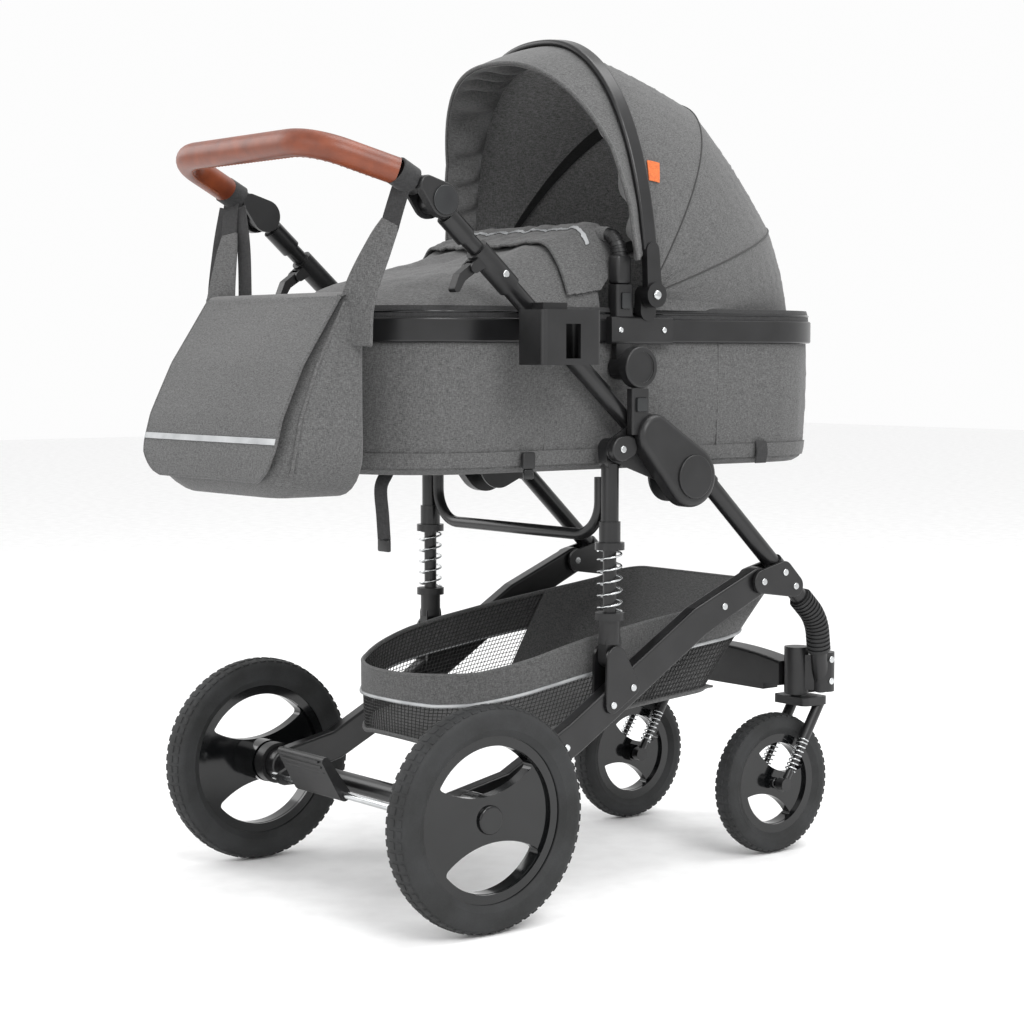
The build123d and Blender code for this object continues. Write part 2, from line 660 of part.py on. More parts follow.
def hood_rear_panel():
    """Fixed rear of the hood, flaring down to the head end of the cot."""
    steps = [(18, 202, 359), (7, 202, 388), (-3.5, 196, 410)]
    return loft([hood_plane(angle) * bow_section(width, reach, 5) for angle, width, reach in steps])


def carry_arch():
    """Flat oval carrying arch with its two round pivot discs."""
    plane = hood_plane(ARCH_ANGLE)
    path = plane * bow_line(211, 357, start=7, steps=12)
    start = Plane(origin=path @ 0, z_dir=path % 0, x_dir=plane.z_dir)
    arch = sweep(start * RectangleRounded(24, 9, 4), path=path)
    for side in (-1, 1):
        near, far = sorted((side * 205, side * 221))
        y, z = HOOD_PIVOT
        eye = disc(HOOD_PIVOT, 17, near, far)
        eye += hull_plate([(y, z, 13), (y - 4, z + 60, 11)], *sorted((side * 206, side * 217)))
        eye -= disc(HOOD_PIVOT, 5 + RUNNING, *sorted((side * 200, side * 218.2)))
        arch += eye
    return arch


# ---------------------------------------------------------------- all parts
def all_parts():
    rear_tyre, rear_disc = rear_wheel()
    front_tyre, front_disc = front_wheel()
    pairs = {
        "lower_beams": lower_beam(),
        "axle_brackets": axle_bracket(),
        "strut_plates": strut_plate(),
        "strut_rods": strut_rod(),
        "front_legs": front_leg(),
        "leg_sleeves": leg_sleeve(),
        "front_brackets": front_bracket(),
        "caster_housings": caster_housing(),
        "hinge_housings": hinge_housing(),
        "hinge_covers": hinge_cover(),
        "adapter_posts": adapter_post(),
        "push_tubes": push_tube(),
        "pivot_ears": pivot_ear(),
        "tube_clamps": tube_clamp(),
        "handle_tubes": handle_tube(),
        "handle_joints": handle_joint(),
        "rim_connectors": rim_connector(),
    }
    sided = {
        "rear_tyre": rear_tyre,
        "rear_wheel": rear_disc,
        "front_tyre": front_tyre,
        "front_wheel": front_disc,
        "strut_foot": strut_foot(),
        "fork": fork(),
        "fork_slider": fork_slider(),
        "swivel_lock": swivel_lock(),
        "adapter_button": adapter_button(),
        "clamp_trigger": clamp_trigger(),
        "bumper_button": bumper_button(),
    }
    single = {
        "rear_axle_tube": rear_axle_tube(),
        "brake_rod": brake_rod(),
        "brake_pedal": brake_pedal(),
        "beam_rivets": beam_rivets(),
        "basket": basket(),
        "cross_tube": cross_tube(),
        "pivot_pins": pivot_pins(),
        "front_crossbar": front_crossbar(),
        "chassis_rivets": chassis_rivets(),
        "cup_bracket": cup_bracket(),
        "push_rivets": push_rivets(),
        "leather_grip": leather_grip(),
        "changing_bag": bag(),
        "tub": tub(),
        "cot_rim": cot_rim(),
        "boot_cover": boot_cover(),
        "bumper_bar": bumper_bar(),
        "carry_arch": carry_arch(),
        "hood_front_panel": hood_panel(195, 350, 57, 110),
        "hood_middle_panel": hood_panel(190, 343, 22, 56),
        "hood_rear_panel": hood_rear_panel(),
    }
    parts = {name: both_sides(shape) for name, shape in pairs.items()}
    for name, shape in sided.items():
        parts[name + "_right"] = shape
        parts[name + "_left"] = left_of(shape)
    return parts | single


os.makedirs("parts", exist_ok=True)
for name, shape in all_parts().items():
    export_step(shape, f"parts/{name}.step")
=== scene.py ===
# %% [markdown]
# # A baby stroller with a carry cot
# The frame, wheels and joints come from the CAD model. This lesson adds what CAD leaves plain:
# the fabric of the cot, hood, cover, bag and basket, the springs, the tyre tread and the leather.
# Every measure is in metres, z is up, and the cot's head end points along +y.

# %% Load the frame
import json
import math

import bpy
import numpy as np
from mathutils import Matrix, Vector


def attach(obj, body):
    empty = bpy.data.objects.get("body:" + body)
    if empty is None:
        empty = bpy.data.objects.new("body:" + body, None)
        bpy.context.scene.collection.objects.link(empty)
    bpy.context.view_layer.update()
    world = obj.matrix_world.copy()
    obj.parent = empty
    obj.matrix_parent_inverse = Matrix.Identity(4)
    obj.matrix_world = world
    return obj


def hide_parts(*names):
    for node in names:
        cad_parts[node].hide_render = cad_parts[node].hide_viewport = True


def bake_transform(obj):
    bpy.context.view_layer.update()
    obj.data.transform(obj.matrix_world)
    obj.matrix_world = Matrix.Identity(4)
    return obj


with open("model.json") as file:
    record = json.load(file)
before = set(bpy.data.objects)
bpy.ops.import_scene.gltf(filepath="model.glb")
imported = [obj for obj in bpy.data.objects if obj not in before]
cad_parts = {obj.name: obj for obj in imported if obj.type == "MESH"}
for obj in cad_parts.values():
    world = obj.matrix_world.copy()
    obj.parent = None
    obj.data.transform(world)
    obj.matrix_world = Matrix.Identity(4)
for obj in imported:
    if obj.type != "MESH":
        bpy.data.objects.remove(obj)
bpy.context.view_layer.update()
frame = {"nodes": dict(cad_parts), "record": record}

# %% [markdown]
# ## Camera, floor and light
# A long lens from the right, behind and a little below the handle keeps the upright lines upright.
# Big soft lights and a pale room give the even look of a shop's studio.

# %% Camera
bpy.ops.object.select_all(action="DESELECT")
bpy.ops.object.camera_add(location=(2.4914, -1.9401, 0.7310), rotation=(math.pi / 2 - 0.0709325, 0, 0.908725))
camera = bpy.context.object
camera.data.lens = 78.66
camera.data.sensor_width = 36
bpy.context.scene.camera = camera

# %% Floor and room
FLOOR_Z = -0.0015
bpy.ops.mesh.primitive_plane_add(size=30, location=(0, 0, FLOOR_Z))
floor = bpy.context.object
floor.name = "studio_floor"

# %% Soft lights
LIGHTS = {
    "key": ((3.4, -0.9, 3.0), 1.8, 85),
    "front": ((0.9, -3.6, 1.6), 2.2, 22),
    "top": ((0.6, 1.0, 4.0), 2.4, 70),
    "far": ((-3.2, -1.6, 2.2), 2.0, 30),
}
for name, (place, size, power) in LIGHTS.items():
    aim = Vector((0, 0, 0.5)) - Vector(place)
    bpy.ops.object.light_add(type="AREA", location=place, rotation=aim.to_track_quat("-Z", "Y").to_euler())
    lamp = bpy.context.object
    lamp.name = "light_" + name
    lamp.data.size = size
    lamp.data.energy = power
room = bpy.data.worlds.new("room")
room.use_nodes = True
room.node_tree.nodes["Background"].inputs["Color"].default_value = (1, 1, 1, 1)
room.node_tree.nodes["Background"].inputs["Strength"].default_value = 0.98
bpy.context.scene.world = room
bpy.context.scene.view_settings.view_transform = "Standard"

# %% [markdown]
# ## Materials
# Each finish starts from the real one: its base colour as a hex value, a typical roughness,
# and a pattern whose scale is a real size in millimetres.

# %% Helpers for materials
def linear(code, alpha=1.0):
    """An sRGB hex colour as the linear colour that a shader takes."""
    values = [int(code[place:place + 2], 16) / 255 for place in (1, 3, 5)]
    return [v / 12.92 if v <= 0.04045 else ((v + 0.055) / 1.055) ** 2.4 for v in values] + [alpha]


def per_mm(size):
    """Texture scale, in repeats per metre, for a pattern that repeats every so many millimetres."""
    return 1000.0 / size


def add(tree, kind, values=(), links=(), **options):
    """Adds a node, sets its options and socket values, and joins its inputs."""
    made = tree.nodes.new(kind)
    for name, value in options.items():
        setattr(made, name, value)
    for name, value in dict(values).items():
        made.inputs[name].default_value = value
    for name, socket in dict(links).items():
        tree.links.new(socket, made.inputs[name])
    return made


def new_material(name, **values):
    """A material with a Principled shader. Returns it, its tree, its shader and object coordinates."""
    material = bpy.data.materials.new(name)
    material.use_nodes = True
    tree = material.node_tree
    shader = tree.nodes["Principled BSDF"]
    for label, value in values.items():
        shader.inputs[label.replace("_", " ")].default_value = value
    place = add(tree, "ShaderNodeTexCoord").outputs["Object"]
    return material, tree, shader, place


def stretched(tree, place, scale):
    """Object coordinates stretched along the three axes."""
    return add(tree, "ShaderNodeMapping", {"Scale": scale}, {"Vector": place}).outputs["Vector"]


def two_tone(tree, factor, dark, light, low=0.35, high=0.65):
    """A ramp from one hex colour to another."""
    ramp = add(tree, "ShaderNodeValToRGB", links={"Fac": factor})
    ramp.color_ramp.elements[0].position = low
    ramp.color_ramp.elements[0].color = linear(dark)
    ramp.color_ramp.elements[1].position = high
    ramp.color_ramp.elements[1].color = linear(light)
    return ramp.outputs["Color"]


def bumped(tree, shader, height, strength, distance):
    """Joins a height pattern to the shader's normal."""
    bump = add(tree, "ShaderNodeBump", {"Strength": strength, "Distance": distance}, {"Height": height})
    tree.links.new(bump.outputs["Normal"], shader.inputs["Normal"])


# %% [markdown]
# ### Melange polyester
# The grey cloth is a plain weave of light and dark yarn. The yarn is about 0.4 mm, too fine to
# show, so the flecks are drawn about 1 mm wide and 4 to 5 mm long: two noises, one stretched
# upwards and one sideways.

# %% Woven cloth
def melange(name, dark, light, thread=1.3, roughness=0.92):
    """Cloth of dark and light yarn, with flecks a given number of millimetres wide."""
    material, tree, shader, place = new_material(name, Roughness=roughness, Sheen_Weight=0.12,
                                                 Sheen_Roughness=0.5)
    noises = []
    for scale in ((1, 1, 0.22), (0.22, 0.22, 1)):
        where = stretched(tree, place, scale)
        noise = add(tree, "ShaderNodeTexNoise", {"Scale": per_mm(thread), "Detail": 3.0, "Roughness": 0.75},
                    {"Vector": where})
        noises.append(noise.outputs["Fac"])
    weave = add(tree, "ShaderNodeMath", links={0: noises[0], 1: noises[1]}, operation="ADD")
    half = add(tree, "ShaderNodeMath", {1: 0.5}, {0: weave.outputs[0]}, operation="MULTIPLY")
    colour = two_tone(tree, half.outputs[0], dark, light, 0.38, 0.62)
    tree.links.new(colour, shader.inputs["Base Color"])
    bumped(tree, shader, half.outputs[0], 0.35, 0.0006)
    return material


grey_cloth = melange("melange_polyester", "#333333", "#656565", 1.0)
lining_cloth = melange("brushed_polyester_lining", "#565656", "#9a9a9a", 1.4)
facing_cloth = melange("gathered_polyester_facing", "#3a3a3a", "#626262", 1.2)
black_webbing = melange("woven_polypropylene_webbing", "#0d0d0e", "#2a2a2b", 1.6, 0.75)
black_mesh = melange("knitted_polyester_mesh", "#0e0e0e", "#1e1e1e", 1.5, 0.7)
seam_thread = melange("dark_sewing_thread", "#1b1b1b", "#303030", 1.0, 0.8)
orange_tape = melange("satin_label_tape", "#b0501f", "#d97030", 1.2, 0.6)
foam_cover = melange("cotton_mattress_cover", "#4a4c4e", "#686a6b", 1.8)

# %% [markdown]
# ### Metals and plastics
# Powder coat and moulded nylon both have a fine orange-peel skin, which softens their highlights.
# The wheels are glossy ABS, with broad clean reflections.

# %% Coated, moulded and plated finishes
def skin(name, dark, light, grain, strength, **values):
    """A hard finish with a fine grain that varies colour, gloss and height."""
    material, tree, shader, place = new_material(name, **values)
    noise = add(tree, "ShaderNodeTexNoise", {"Scale": per_mm(grain), "Detail": 4.0}, {"Vector": place})
    wear = add(tree, "ShaderNodeTexNoise", {"Scale": per_mm(45), "Detail": 3.0}, {"Vector": place})
    colour = two_tone(tree, wear.outputs["Fac"], dark, light)
    tree.links.new(colour, shader.inputs["Base Color"])
    rough = values["Roughness"]
    spread = add(tree, "ShaderNodeMapRange", {"To Min": rough * 0.85, "To Max": rough * 1.15},
                 {"Value": noise.outputs["Fac"]})
    tree.links.new(spread.outputs["Result"], shader.inputs["Roughness"])
    bumped(tree, shader, noise.outputs["Fac"], strength, 0.0003)
    return material


powder_coat = skin("satin_black_powder_coat", "#0d0d0e", "#171718", 1.4, 0.06, Roughness=0.3)
moulded_nylon = skin("moulded_black_nylon", "#0d0d0e", "#171718", 1.0, 0.2, Roughness=0.42)
gloss_abs = skin("gloss_black_abs", "#08090a", "#101112", 6.0, 0.02, Roughness=0.12)
button_nylon = skin("polished_black_nylon", "#17181a", "#232526", 1.0, 0.1, Roughness=0.3)
chrome = skin("bright_chrome_plate", "#b9bbbc", "#d2d4d5", 4.0, 0.02, Roughness=0.16, Metallic=1.0)
reflective = skin("silver_reflective_tape", "#8f9193", "#b0b2b3", 1.5, 0.2, Roughness=0.42)

# %% [markdown]
# ### Rubber and leather
# Tyre rubber is matt and very dark. The handle's leather has pebbles about 2 mm across,
# drawn with a Voronoi pattern whose cell edges sink in, under a thin worn polish.

# %% Rubber and leather
tyre_rubber = skin("vulcanised_rubber", "#161717", "#242526", 2.0, 0.3, Roughness=0.72)
sleeve_rubber = skin("moulded_rubber_sleeve", "#101011", "#191a1b", 2.0, 0.2, Roughness=0.55)


def grained_leather():
    """Leather with sunk lines between its pebbles and a slow change of colour."""
    material, tree, shader, place = new_material("cognac_leather", Roughness=0.42, Coat_Weight=0.15)
    shader.inputs["Coat Roughness"].default_value = 0.35
    pebble = add(tree, "ShaderNodeTexVoronoi", {"Scale": per_mm(2.2)}, {"Vector": place},
                 feature="DISTANCE_TO_EDGE")
    cloud = add(tree, "ShaderNodeTexNoise", {"Scale": per_mm(30), "Detail": 5.0}, {"Vector": place})
    colour = two_tone(tree, cloud.outputs["Fac"], "#5f2810", "#7e3a1a", 0.3, 0.7)
    tree.links.new(colour, shader.inputs["Base Color"])
    bumped(tree, shader, pebble.outputs["Distance"], 0.35, 0.0006)
    return material


leather = grained_leather()
thread = melange("waxed_thread", "#6a3216", "#8a4824", 1.0, 0.7)
floor_paint = skin("matt_studio_floor", "#f4f4f4", "#fbfbfb", 40, 0.0, Roughness=0.9)
floor.data.materials.append(floor_paint)

# %% [markdown]
# ## Finishes on the CAD nodes
# The record gives every node a slot. One table says which finish each slot gets.

# %% Paint the carried nodes
FINISHES = {
    "black_frame": powder_coat,
    "black_plastic": moulded_nylon,
    "button_plastic": button_nylon,
    "bright_metal": chrome,
    "gloss_wheel": gloss_abs,
    "tyre_rubber": tyre_rubber,
    "sleeve_rubber": sleeve_rubber,
    "brown_leather": leather,
    "grey_fabric": grey_cloth,
    "mesh_fabric": black_mesh,
}
for part in frame["record"]["subparts"]:
    node = frame["nodes"][part["node"]]
    node.data.materials.clear()
    node.data.materials.append(FINISHES[part["material_slot"]])
print(len(frame["nodes"]), "nodes painted")

# %% [markdown]
# ## Helpers for modelling
# A sheet of cloth is a grid primitive whose points are moved onto a curved surface, and then
# given a thickness. The helpers below select one piece, build such a surface and finish it.

# %% Select, build and finish
def only(piece):
    """Makes one piece the whole selection."""
    if bpy.context.mode != "OBJECT":
        bpy.ops.object.mode_set(mode="OBJECT")
    bpy.ops.object.select_all(action="DESELECT")
    piece.select_set(True)
    bpy.context.view_layer.objects.active = piece


def tidy_mesh(piece):
    """Merges doubles and points the faces outwards."""
    only(piece)
    bpy.ops.object.mode_set(mode="EDIT")
    bpy.ops.mesh.select_all(action="SELECT")
    bpy.ops.mesh.remove_doubles(threshold=0.00002)
    bpy.ops.mesh.normals_make_consistent(inside=False)
    bpy.ops.object.mode_set(mode="OBJECT")


def surface(name, shape, across, along):
    """A grid whose points lie at shape(u, v), with u and v from 0 to 1."""
    bpy.ops.object.select_all(action="DESELECT")
    bpy.ops.mesh.primitive_grid_add(x_subdivisions=across, y_subdivisions=along, size=2)
    piece = bpy.context.object
    piece.name = name
    for vertex in piece.data.vertices:
        vertex.co = Vector(shape((vertex.co.x + 1) / 2, (vertex.co.y + 1) / 2))
    tidy_mesh(piece)
    return piece


def apply(piece, kind, **settings):
    """Adds a modifier with its settings and applies it."""
    only(piece)
    modifier = piece.modifiers.new(kind.lower(), kind)
    for label, value in settings.items():
        setattr(modifier, label, value)
    bpy.ops.object.modifier_apply(modifier=modifier.name)


def finished(piece, material, body, angle=40):
    """Smooth shading, material, slot and body for a finished piece."""
    only(piece)
    bpy.ops.object.transform_apply(location=True, rotation=True, scale=True)
    bpy.ops.object.shade_smooth_by_angle(angle=math.radians(angle))
    piece.data.materials.clear()
    piece.data.materials.append(material)
    if body:
        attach(piece, body)
    print(piece.name, len(piece.data.polygons), "faces")
    return piece


def tube(name, points, radius, closed=False, sides=3):
    """A round cord or wire along points, as a mesh."""
    curve = bpy.data.curves.new(name, "CURVE")
    curve.dimensions = "3D"
    curve.bevel_depth = radius
    curve.bevel_resolution = sides
    curve.use_fill_caps = True
    spline = curve.splines.new("POLY")
    spline.points.add(len(points) - 1)
    for point, place in zip(spline.points, points):
        point.co = (*place, 1)
    spline.use_cyclic_u = closed
    piece = bpy.data.objects.new(name, curve)
    bpy.context.scene.collection.objects.link(piece)
    only(piece)
    bpy.ops.object.convert(target="MESH")
    tidy_mesh(piece)
    return piece


def bar(name, centre, size, bevel=0.002, turn=(0, 0, 0)):
    """A bevelled block."""
    bpy.ops.object.select_all(action="DESELECT")
    bpy.ops.mesh.primitive_cube_add(size=1, location=centre, rotation=turn, scale=size)
    piece = bpy.context.object
    piece.name = name
    bpy.ops.object.transform_apply(location=True, rotation=True, scale=True)
    apply(piece, "BEVEL", width=bevel, segments=3)
    return piece


def smooth_line(points, steps):
    """A smooth curve through points, sampled evenly by their number."""
    points = [np.array(p, float) for p in points]
    points = [2 * points[0] - points[1], *points, 2 * points[-1] - points[-2]]
    line = []
    for index in range(1, len(points) - 2):
        a, b, c, d = points[index - 1:index + 3]
        for k in range(steps):
            t = k / steps
            line.append(0.5 * (2 * b + (c - a) * t + (2 * a - 5 * b + 4 * c - d) * t * t
                               + (3 * b - 3 * c + d - a) * t ** 3))
    return line + [points[-2]]


def strap(name, points, widths, thickness, facing, steps=8):
    """Flat webbing along a smooth line. Facing is the way its flat side looks."""
    line = smooth_line(points, steps)
    ahead = np.gradient(np.array(line), axis=0)
    facing = np.array(facing, float)

    def shape(u, v):
        k = round(v * (len(line) - 1))
        side = np.cross(ahead[k], facing)
        side /= np.linalg.norm(side)
        width = np.interp(v, np.linspace(0, 1, len(widths)), widths)
        return line[k] + side * (u - 0.5) * width

    piece = surface(name, shape, 4, len(line) - 1)
    apply(piece, "SOLIDIFY", thickness=thickness, offset=0)
    apply(piece, "BEVEL", width=thickness * 0.3, segments=1, limit_method="ANGLE")
    return piece


def ripple(a, b):
    """Gentle uneven waves between about -1 and 1, the same on every run."""
    return (0.5 * math.sin(a * 37 + 1.3 * math.sin(b * 29)) + 0.3 * math.sin(a * 71 + b * 43 + 2.1)
            + 0.2 * math.sin(b * 97 - a * 53))


def read(table, place):
    """Reads a table of (place, value) rows at a place, in straight lines between its rows."""
    return np.interp(place, [row[0] for row in table], [row[1] for row in table])


def raised(shape, distance):
    """The same surface moved out along its normal, for tape and piping that lie on it."""
    def moved(u, v):
        here = Vector(shape(u, v))
        du = Vector(shape(min(1, u + 0.004), v)) - Vector(shape(max(0, u - 0.004), v))
        dv = Vector(shape(u, min(1, v + 0.004))) - Vector(shape(u, max(0, v - 0.004)))
        return here + du.cross(dv).normalized() * distance

    return moved


def domes(name, places, radius, material, body):
    """Rivet heads on upright faces, each at its (x, y, z)."""
    heads = []
    for place in places:
        bpy.ops.object.select_all(action="DESELECT")
        bpy.ops.mesh.primitive_uv_sphere_add(segments=16, ring_count=8, radius=radius, location=place,
                                             rotation=(0, math.pi / 2, 0), scale=(1, 1, 0.45))
        heads.append(bpy.context.object)
    only(heads[0])
    for head in heads:
        head.select_set(True)
    bpy.ops.object.join()
    piece = bpy.context.object
    piece.name = name
    return finished(piece, material, body)


# %% [markdown]
# ## Outline of the cot
# Seen from above, the cot is a rounded rectangle. This function walks round it and returns each
# point with the direction that faces outwards, so that walls, zips and piping all follow it.

# %% Rounded plan
def plan(half_width, back, front, back_round, front_round, steps=20):
    """A function that gives (x, y) and the outward direction at a share of the way round a plan."""
    rows = [(0, front, 0, 1)]

    def corner(x, y, radius, first, last):
        for k in range(steps + 1):
            angle = math.radians(first + (last - first) * k / steps)
            across, along = math.cos(angle), math.sin(angle)
            rows.append((x + radius * across, y + radius * along, across, along))

    corner(half_width - front_round, front - front_round, front_round, 90, 0)
    corner(half_width - back_round, back + back_round, back_round, 0, -90)
    corner(-half_width + back_round, back + back_round, back_round, -90, -180)
    corner(-half_width + front_round, front - front_round, front_round, 180, 90)
    rows.append((0, front, 0, 1))
    rows = np.array(rows)
    lengths = np.concatenate([[0], np.cumsum(np.hypot(*np.diff(rows[:, :2], axis=0).T))])
    lengths /= lengths[-1]

    def at(share, inset=0.0):
        x, y, nx, ny = (np.interp(share, lengths, rows[:, k]) for k in range(4))
        size = math.hypot(nx, ny) or 1
        return x - nx * inset / size, y - ny * inset / size, nx / size, ny / size

    return at


COT_HALF, COT_ROUND = 0.187, 0.150
COT_BACK, COT_FRONT = -0.335, 0.490
cot = plan(COT_HALF, COT_BACK, COT_FRONT, COT_ROUND, COT_ROUND)

# %% [markdown]
# ## Cot body
# The cot is a fabric shell with a stiff floor. Its wall hangs from the rim, so it is flat at the
# top and waves a little more towards the hem.

# %% Wall and floor of the cot
WALL = [(0.004, 0.7445), (0.0035, 0.735), (0.003, 0.70), (0.004, 0.66), (0.006, 0.62), (0.008, 0.595),
        (0.012, 0.580), (0.022, 0.5735), (0.045, 0.573), (0.090, 0.574), (0.135, 0.575)]
FLOOR_EDGE_Z = WALL[-1][1]


def wall_point(u, v):
    k = v * (len(WALL) - 1)
    inset = np.interp(k, range(len(WALL)), [row[0] for row in WALL])
    z = np.interp(k, range(len(WALL)), [row[1] for row in WALL])
    loose = min(1, max(0, (0.745 - z) / 0.09)) * (1 if inset < 0.02 else 0.3)
    wave = 0.0016 * loose * ripple(u * 9, z * 9)
    x, y, _, _ = cot(u, inset - wave)
    return x, y, z


tub = surface("cot_wall", wall_point, 220, 40)
only(tub)
bpy.ops.object.mode_set(mode="EDIT")
bpy.ops.mesh.select_all(action="DESELECT")
bpy.ops.object.mode_set(mode="OBJECT")
for edge in tub.data.edges:
    edge.select = all(abs(tub.data.vertices[k].co.z - FLOOR_EDGE_Z) < 0.0003 for k in edge.vertices)
bpy.ops.object.mode_set(mode="EDIT")
bpy.ops.mesh.select_mode(type="EDGE")
bpy.ops.mesh.edge_face_add()
bpy.ops.object.mode_set(mode="OBJECT")
tidy_mesh(tub)
apply(tub, "SOLIDIFY", thickness=0.004, offset=-1)
finished(tub, grey_cloth, "cot")
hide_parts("tub")

# %% [markdown]
# Vertical seams, a hem binding and the zip band sit on that wall as thin strips and piping.

# %% Seams, hem and zip of the cot
def cot_side(y):
    """Share of the way round the right side where the wall is at a y."""
    shares = np.linspace(0.1, 0.5, 400)
    return min(shares, key=lambda share: abs(cot(share)[1] - y) + (0 if cot(share)[0] > 0.1 else 9))


def ring_strip(name, rows, material, thickness=0.0015):
    """A strip round the cot through rows of (inset, z)."""
    def shape(u, v):
        inset, z = (np.interp(v * (len(rows) - 1), range(len(rows)), column) for column in zip(*rows))
        x, y, _, _ = cot(u, inset)
        return x, y, z

    piece = surface(name, shape, 200, 2 * (len(rows) - 1))
    apply(piece, "SOLIDIFY", thickness=thickness, offset=0)
    return finished(piece, material, "cot")


ring_strip("cot_zip_band", [(0.001, 0.776), (0.0015, 0.784), (0.004, 0.792)], black_webbing)
ring_strip("cot_hem_binding", [(0.0055, 0.602), (0.0065, 0.592), (0.0085, 0.583)], grey_cloth, 0.002)
for side in (1, -1):
    for index, y in enumerate((-0.084, 0.227)):
        share = cot_side(y)
        share = share if side > 0 else 1 - share
        line = []
        for k in range(16):
            z = 0.742 - 0.15 * k / 15
            side_x, side_y, _, _ = cot(share, 0.0032 + 0.004 * k / 15)
            line.append((side_x, side_y, z))
        seam = tube(f"cot_seam_{index}_{'right' if side > 0 else 'left'}", line, 0.0016)
        finished(seam, grey_cloth, "cot")
zip_line = [(*cot(k / 160, 0.0012)[:2], 0.7845) for k in range(160)]
finished(tube("zip_teeth", zip_line, 0.0017, closed=True), gloss_abs, "cot")

# %% [markdown]
# ## Boot cover
# The apron over the foot end is padded and tensioned from the zip up to the bumper bar. Its height
# grows with the distance from the zip, which gives steep edges and a long soft crown.

# %% Crown of the boot cover
COVER_EDGE_Z = 0.788
CROWN = [(-0.335, 0.806), (-0.285, 0.824), (-0.21, 0.833), (-0.105, 0.856), (-0.03, 0.880), (0.014, 0.893)]


def edge_distance(x, y):
    """Distance inwards from the cot's outline."""
    dx = abs(x) - (COT_HALF - COT_ROUND)
    dy = COT_BACK + COT_ROUND - y
    outside = math.hypot(max(dx, 0), max(dy, 0))
    return COT_ROUND - outside if dx > 0 or dy > 0 else COT_ROUND - max(dx, dy)


def cover_height(x, y, fold=0.0035):
    """Height of the cover, with folds that fan out from the bumper bar."""
    inward = min(1, max(0, edge_distance(x, y) - 0.007) / np.interp(y, [-0.2, 0.014], [0.115, 0.05]))
    crown = read(CROWN, y)
    dome = 1 - (1 - inward) ** 2.3
    angle = math.atan2(x, 0.06 - y)
    folds = fold * math.sin(angle * 11) * min(1, max(0, (y + 0.22) / 0.2)) * dome
    return COVER_EDGE_Z + (crown - COVER_EDGE_Z) * dome + folds + 0.0015 * dome * ripple(x * 4, y * 4)


def cover_point(u, v):
    y = -0.328 + 0.342 * v
    deep = max(0, COT_BACK + COT_ROUND - y)
    half = COT_HALF - COT_ROUND + math.sqrt(max(0, 0.143 ** 2 - deep ** 2))
    x = half * math.sin((u - 0.5) * math.pi) if v > 0.001 else half * (2 * u - 1)
    return x, y, cover_height(x, y)


cover = surface("boot_cover_cloth", cover_point, 90, 80)
apply(cover, "SOLIDIFY", thickness=0.005, offset=-1)
apply(cover, "SMOOTH", factor=0.5, iterations=4)
finished(cover, grey_cloth, "cot")
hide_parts("boot_cover")

# %% [markdown]
# The front flap of the cover folds over the bumper bar and lies back on the crown. A silver strip runs along
# its edge.

# %% Flap over the bumper bar
FLAP_FRONT = [(0.014, 0.8985), (0.026, 0.9055), (0.040, 0.9045), (0.049, 0.895), (0.0535, 0.878),
              (0.0535, 0.858), (0.052, 0.845)]


def flap_point(u, v):
    """Point on the flap: v runs from its back edge on the crown, over the bar and down in front."""
    x = 0.178 * (2 * u - 1)
    if v < 0.5:
        y = -0.052 - 0.010 * math.cos(x * 16) + (0.066 + 0.010 * math.cos(x * 16)) * v * 2
        wave = 0.0012 * ripple(u * 5, v * 2) * (1 - v)
        return x, y, cover_height(x * 0.985, min(y, 0.0139), 0.0008) + 0.0065 + wave
    k = (v - 0.5) * 2 * (len(FLAP_FRONT) - 1)
    y, z = (np.interp(k, range(len(FLAP_FRONT)), [row[n] for row in FLAP_FRONT]) for n in (0, 1))
    drop = 0.8985 - cover_height(x * 0.985, 0.0139, 0.0008) - 0.0065
    return x, y, z - drop * (1 - (v - 0.5) * 1.2)


flap = surface("boot_cover_flap", flap_point, 60, 48)
apply(flap, "SOLIDIFY", thickness=0.004, offset=0)
finished(flap, grey_cloth, None)
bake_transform(flap)


def flap_strip_point(u, v):
    return raised(flap_point, 0.0036)(0.06 + 0.88 * u, 0.415 + 0.05 * v)


hem_line = [flap_point(k / 60, 0.0) for k in range(61)]
flap_hem = tube("flap_hem_piping", hem_line, 0.0014)
finished(flap_hem, grey_cloth, None)
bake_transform(flap_hem)
strip = surface("flap_reflective_strip", flap_strip_point, 120, 2)
apply(strip, "SOLIDIFY", thickness=0.001, offset=0)
finished(strip, reflective, None)
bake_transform(strip)

# %% [markdown]
# ## Bumper bar
# The top run is a foam tube under grey cloth. Its bent ends are ribbed nylon elbows, which stand in
# moulded plugs in the sockets on the rim.

# %% Bumper bar cover and ends
BAR = [(0.190, 0.038, 0.846), (0.190, 0.038, 0.862), (0.185, 0.036, 0.880), (0.166, 0.034, 0.892),
       (0.10, 0.034, 0.8925), (0, 0.034, 0.8925)]
bar_line = smooth_line(BAR + [(-x, y, z) for x, y, z in reversed(BAR[:-1])], 8)
CLOTH_HALF = 0.172
cloth_run = [place for place in bar_line if abs(place[0]) <= CLOTH_HALF]
bumper = tube("bumper_bar_cloth", cloth_run, 0.0098, sides=5)
finished(bumper, grey_cloth, "bumper")
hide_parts("bumper_bar")


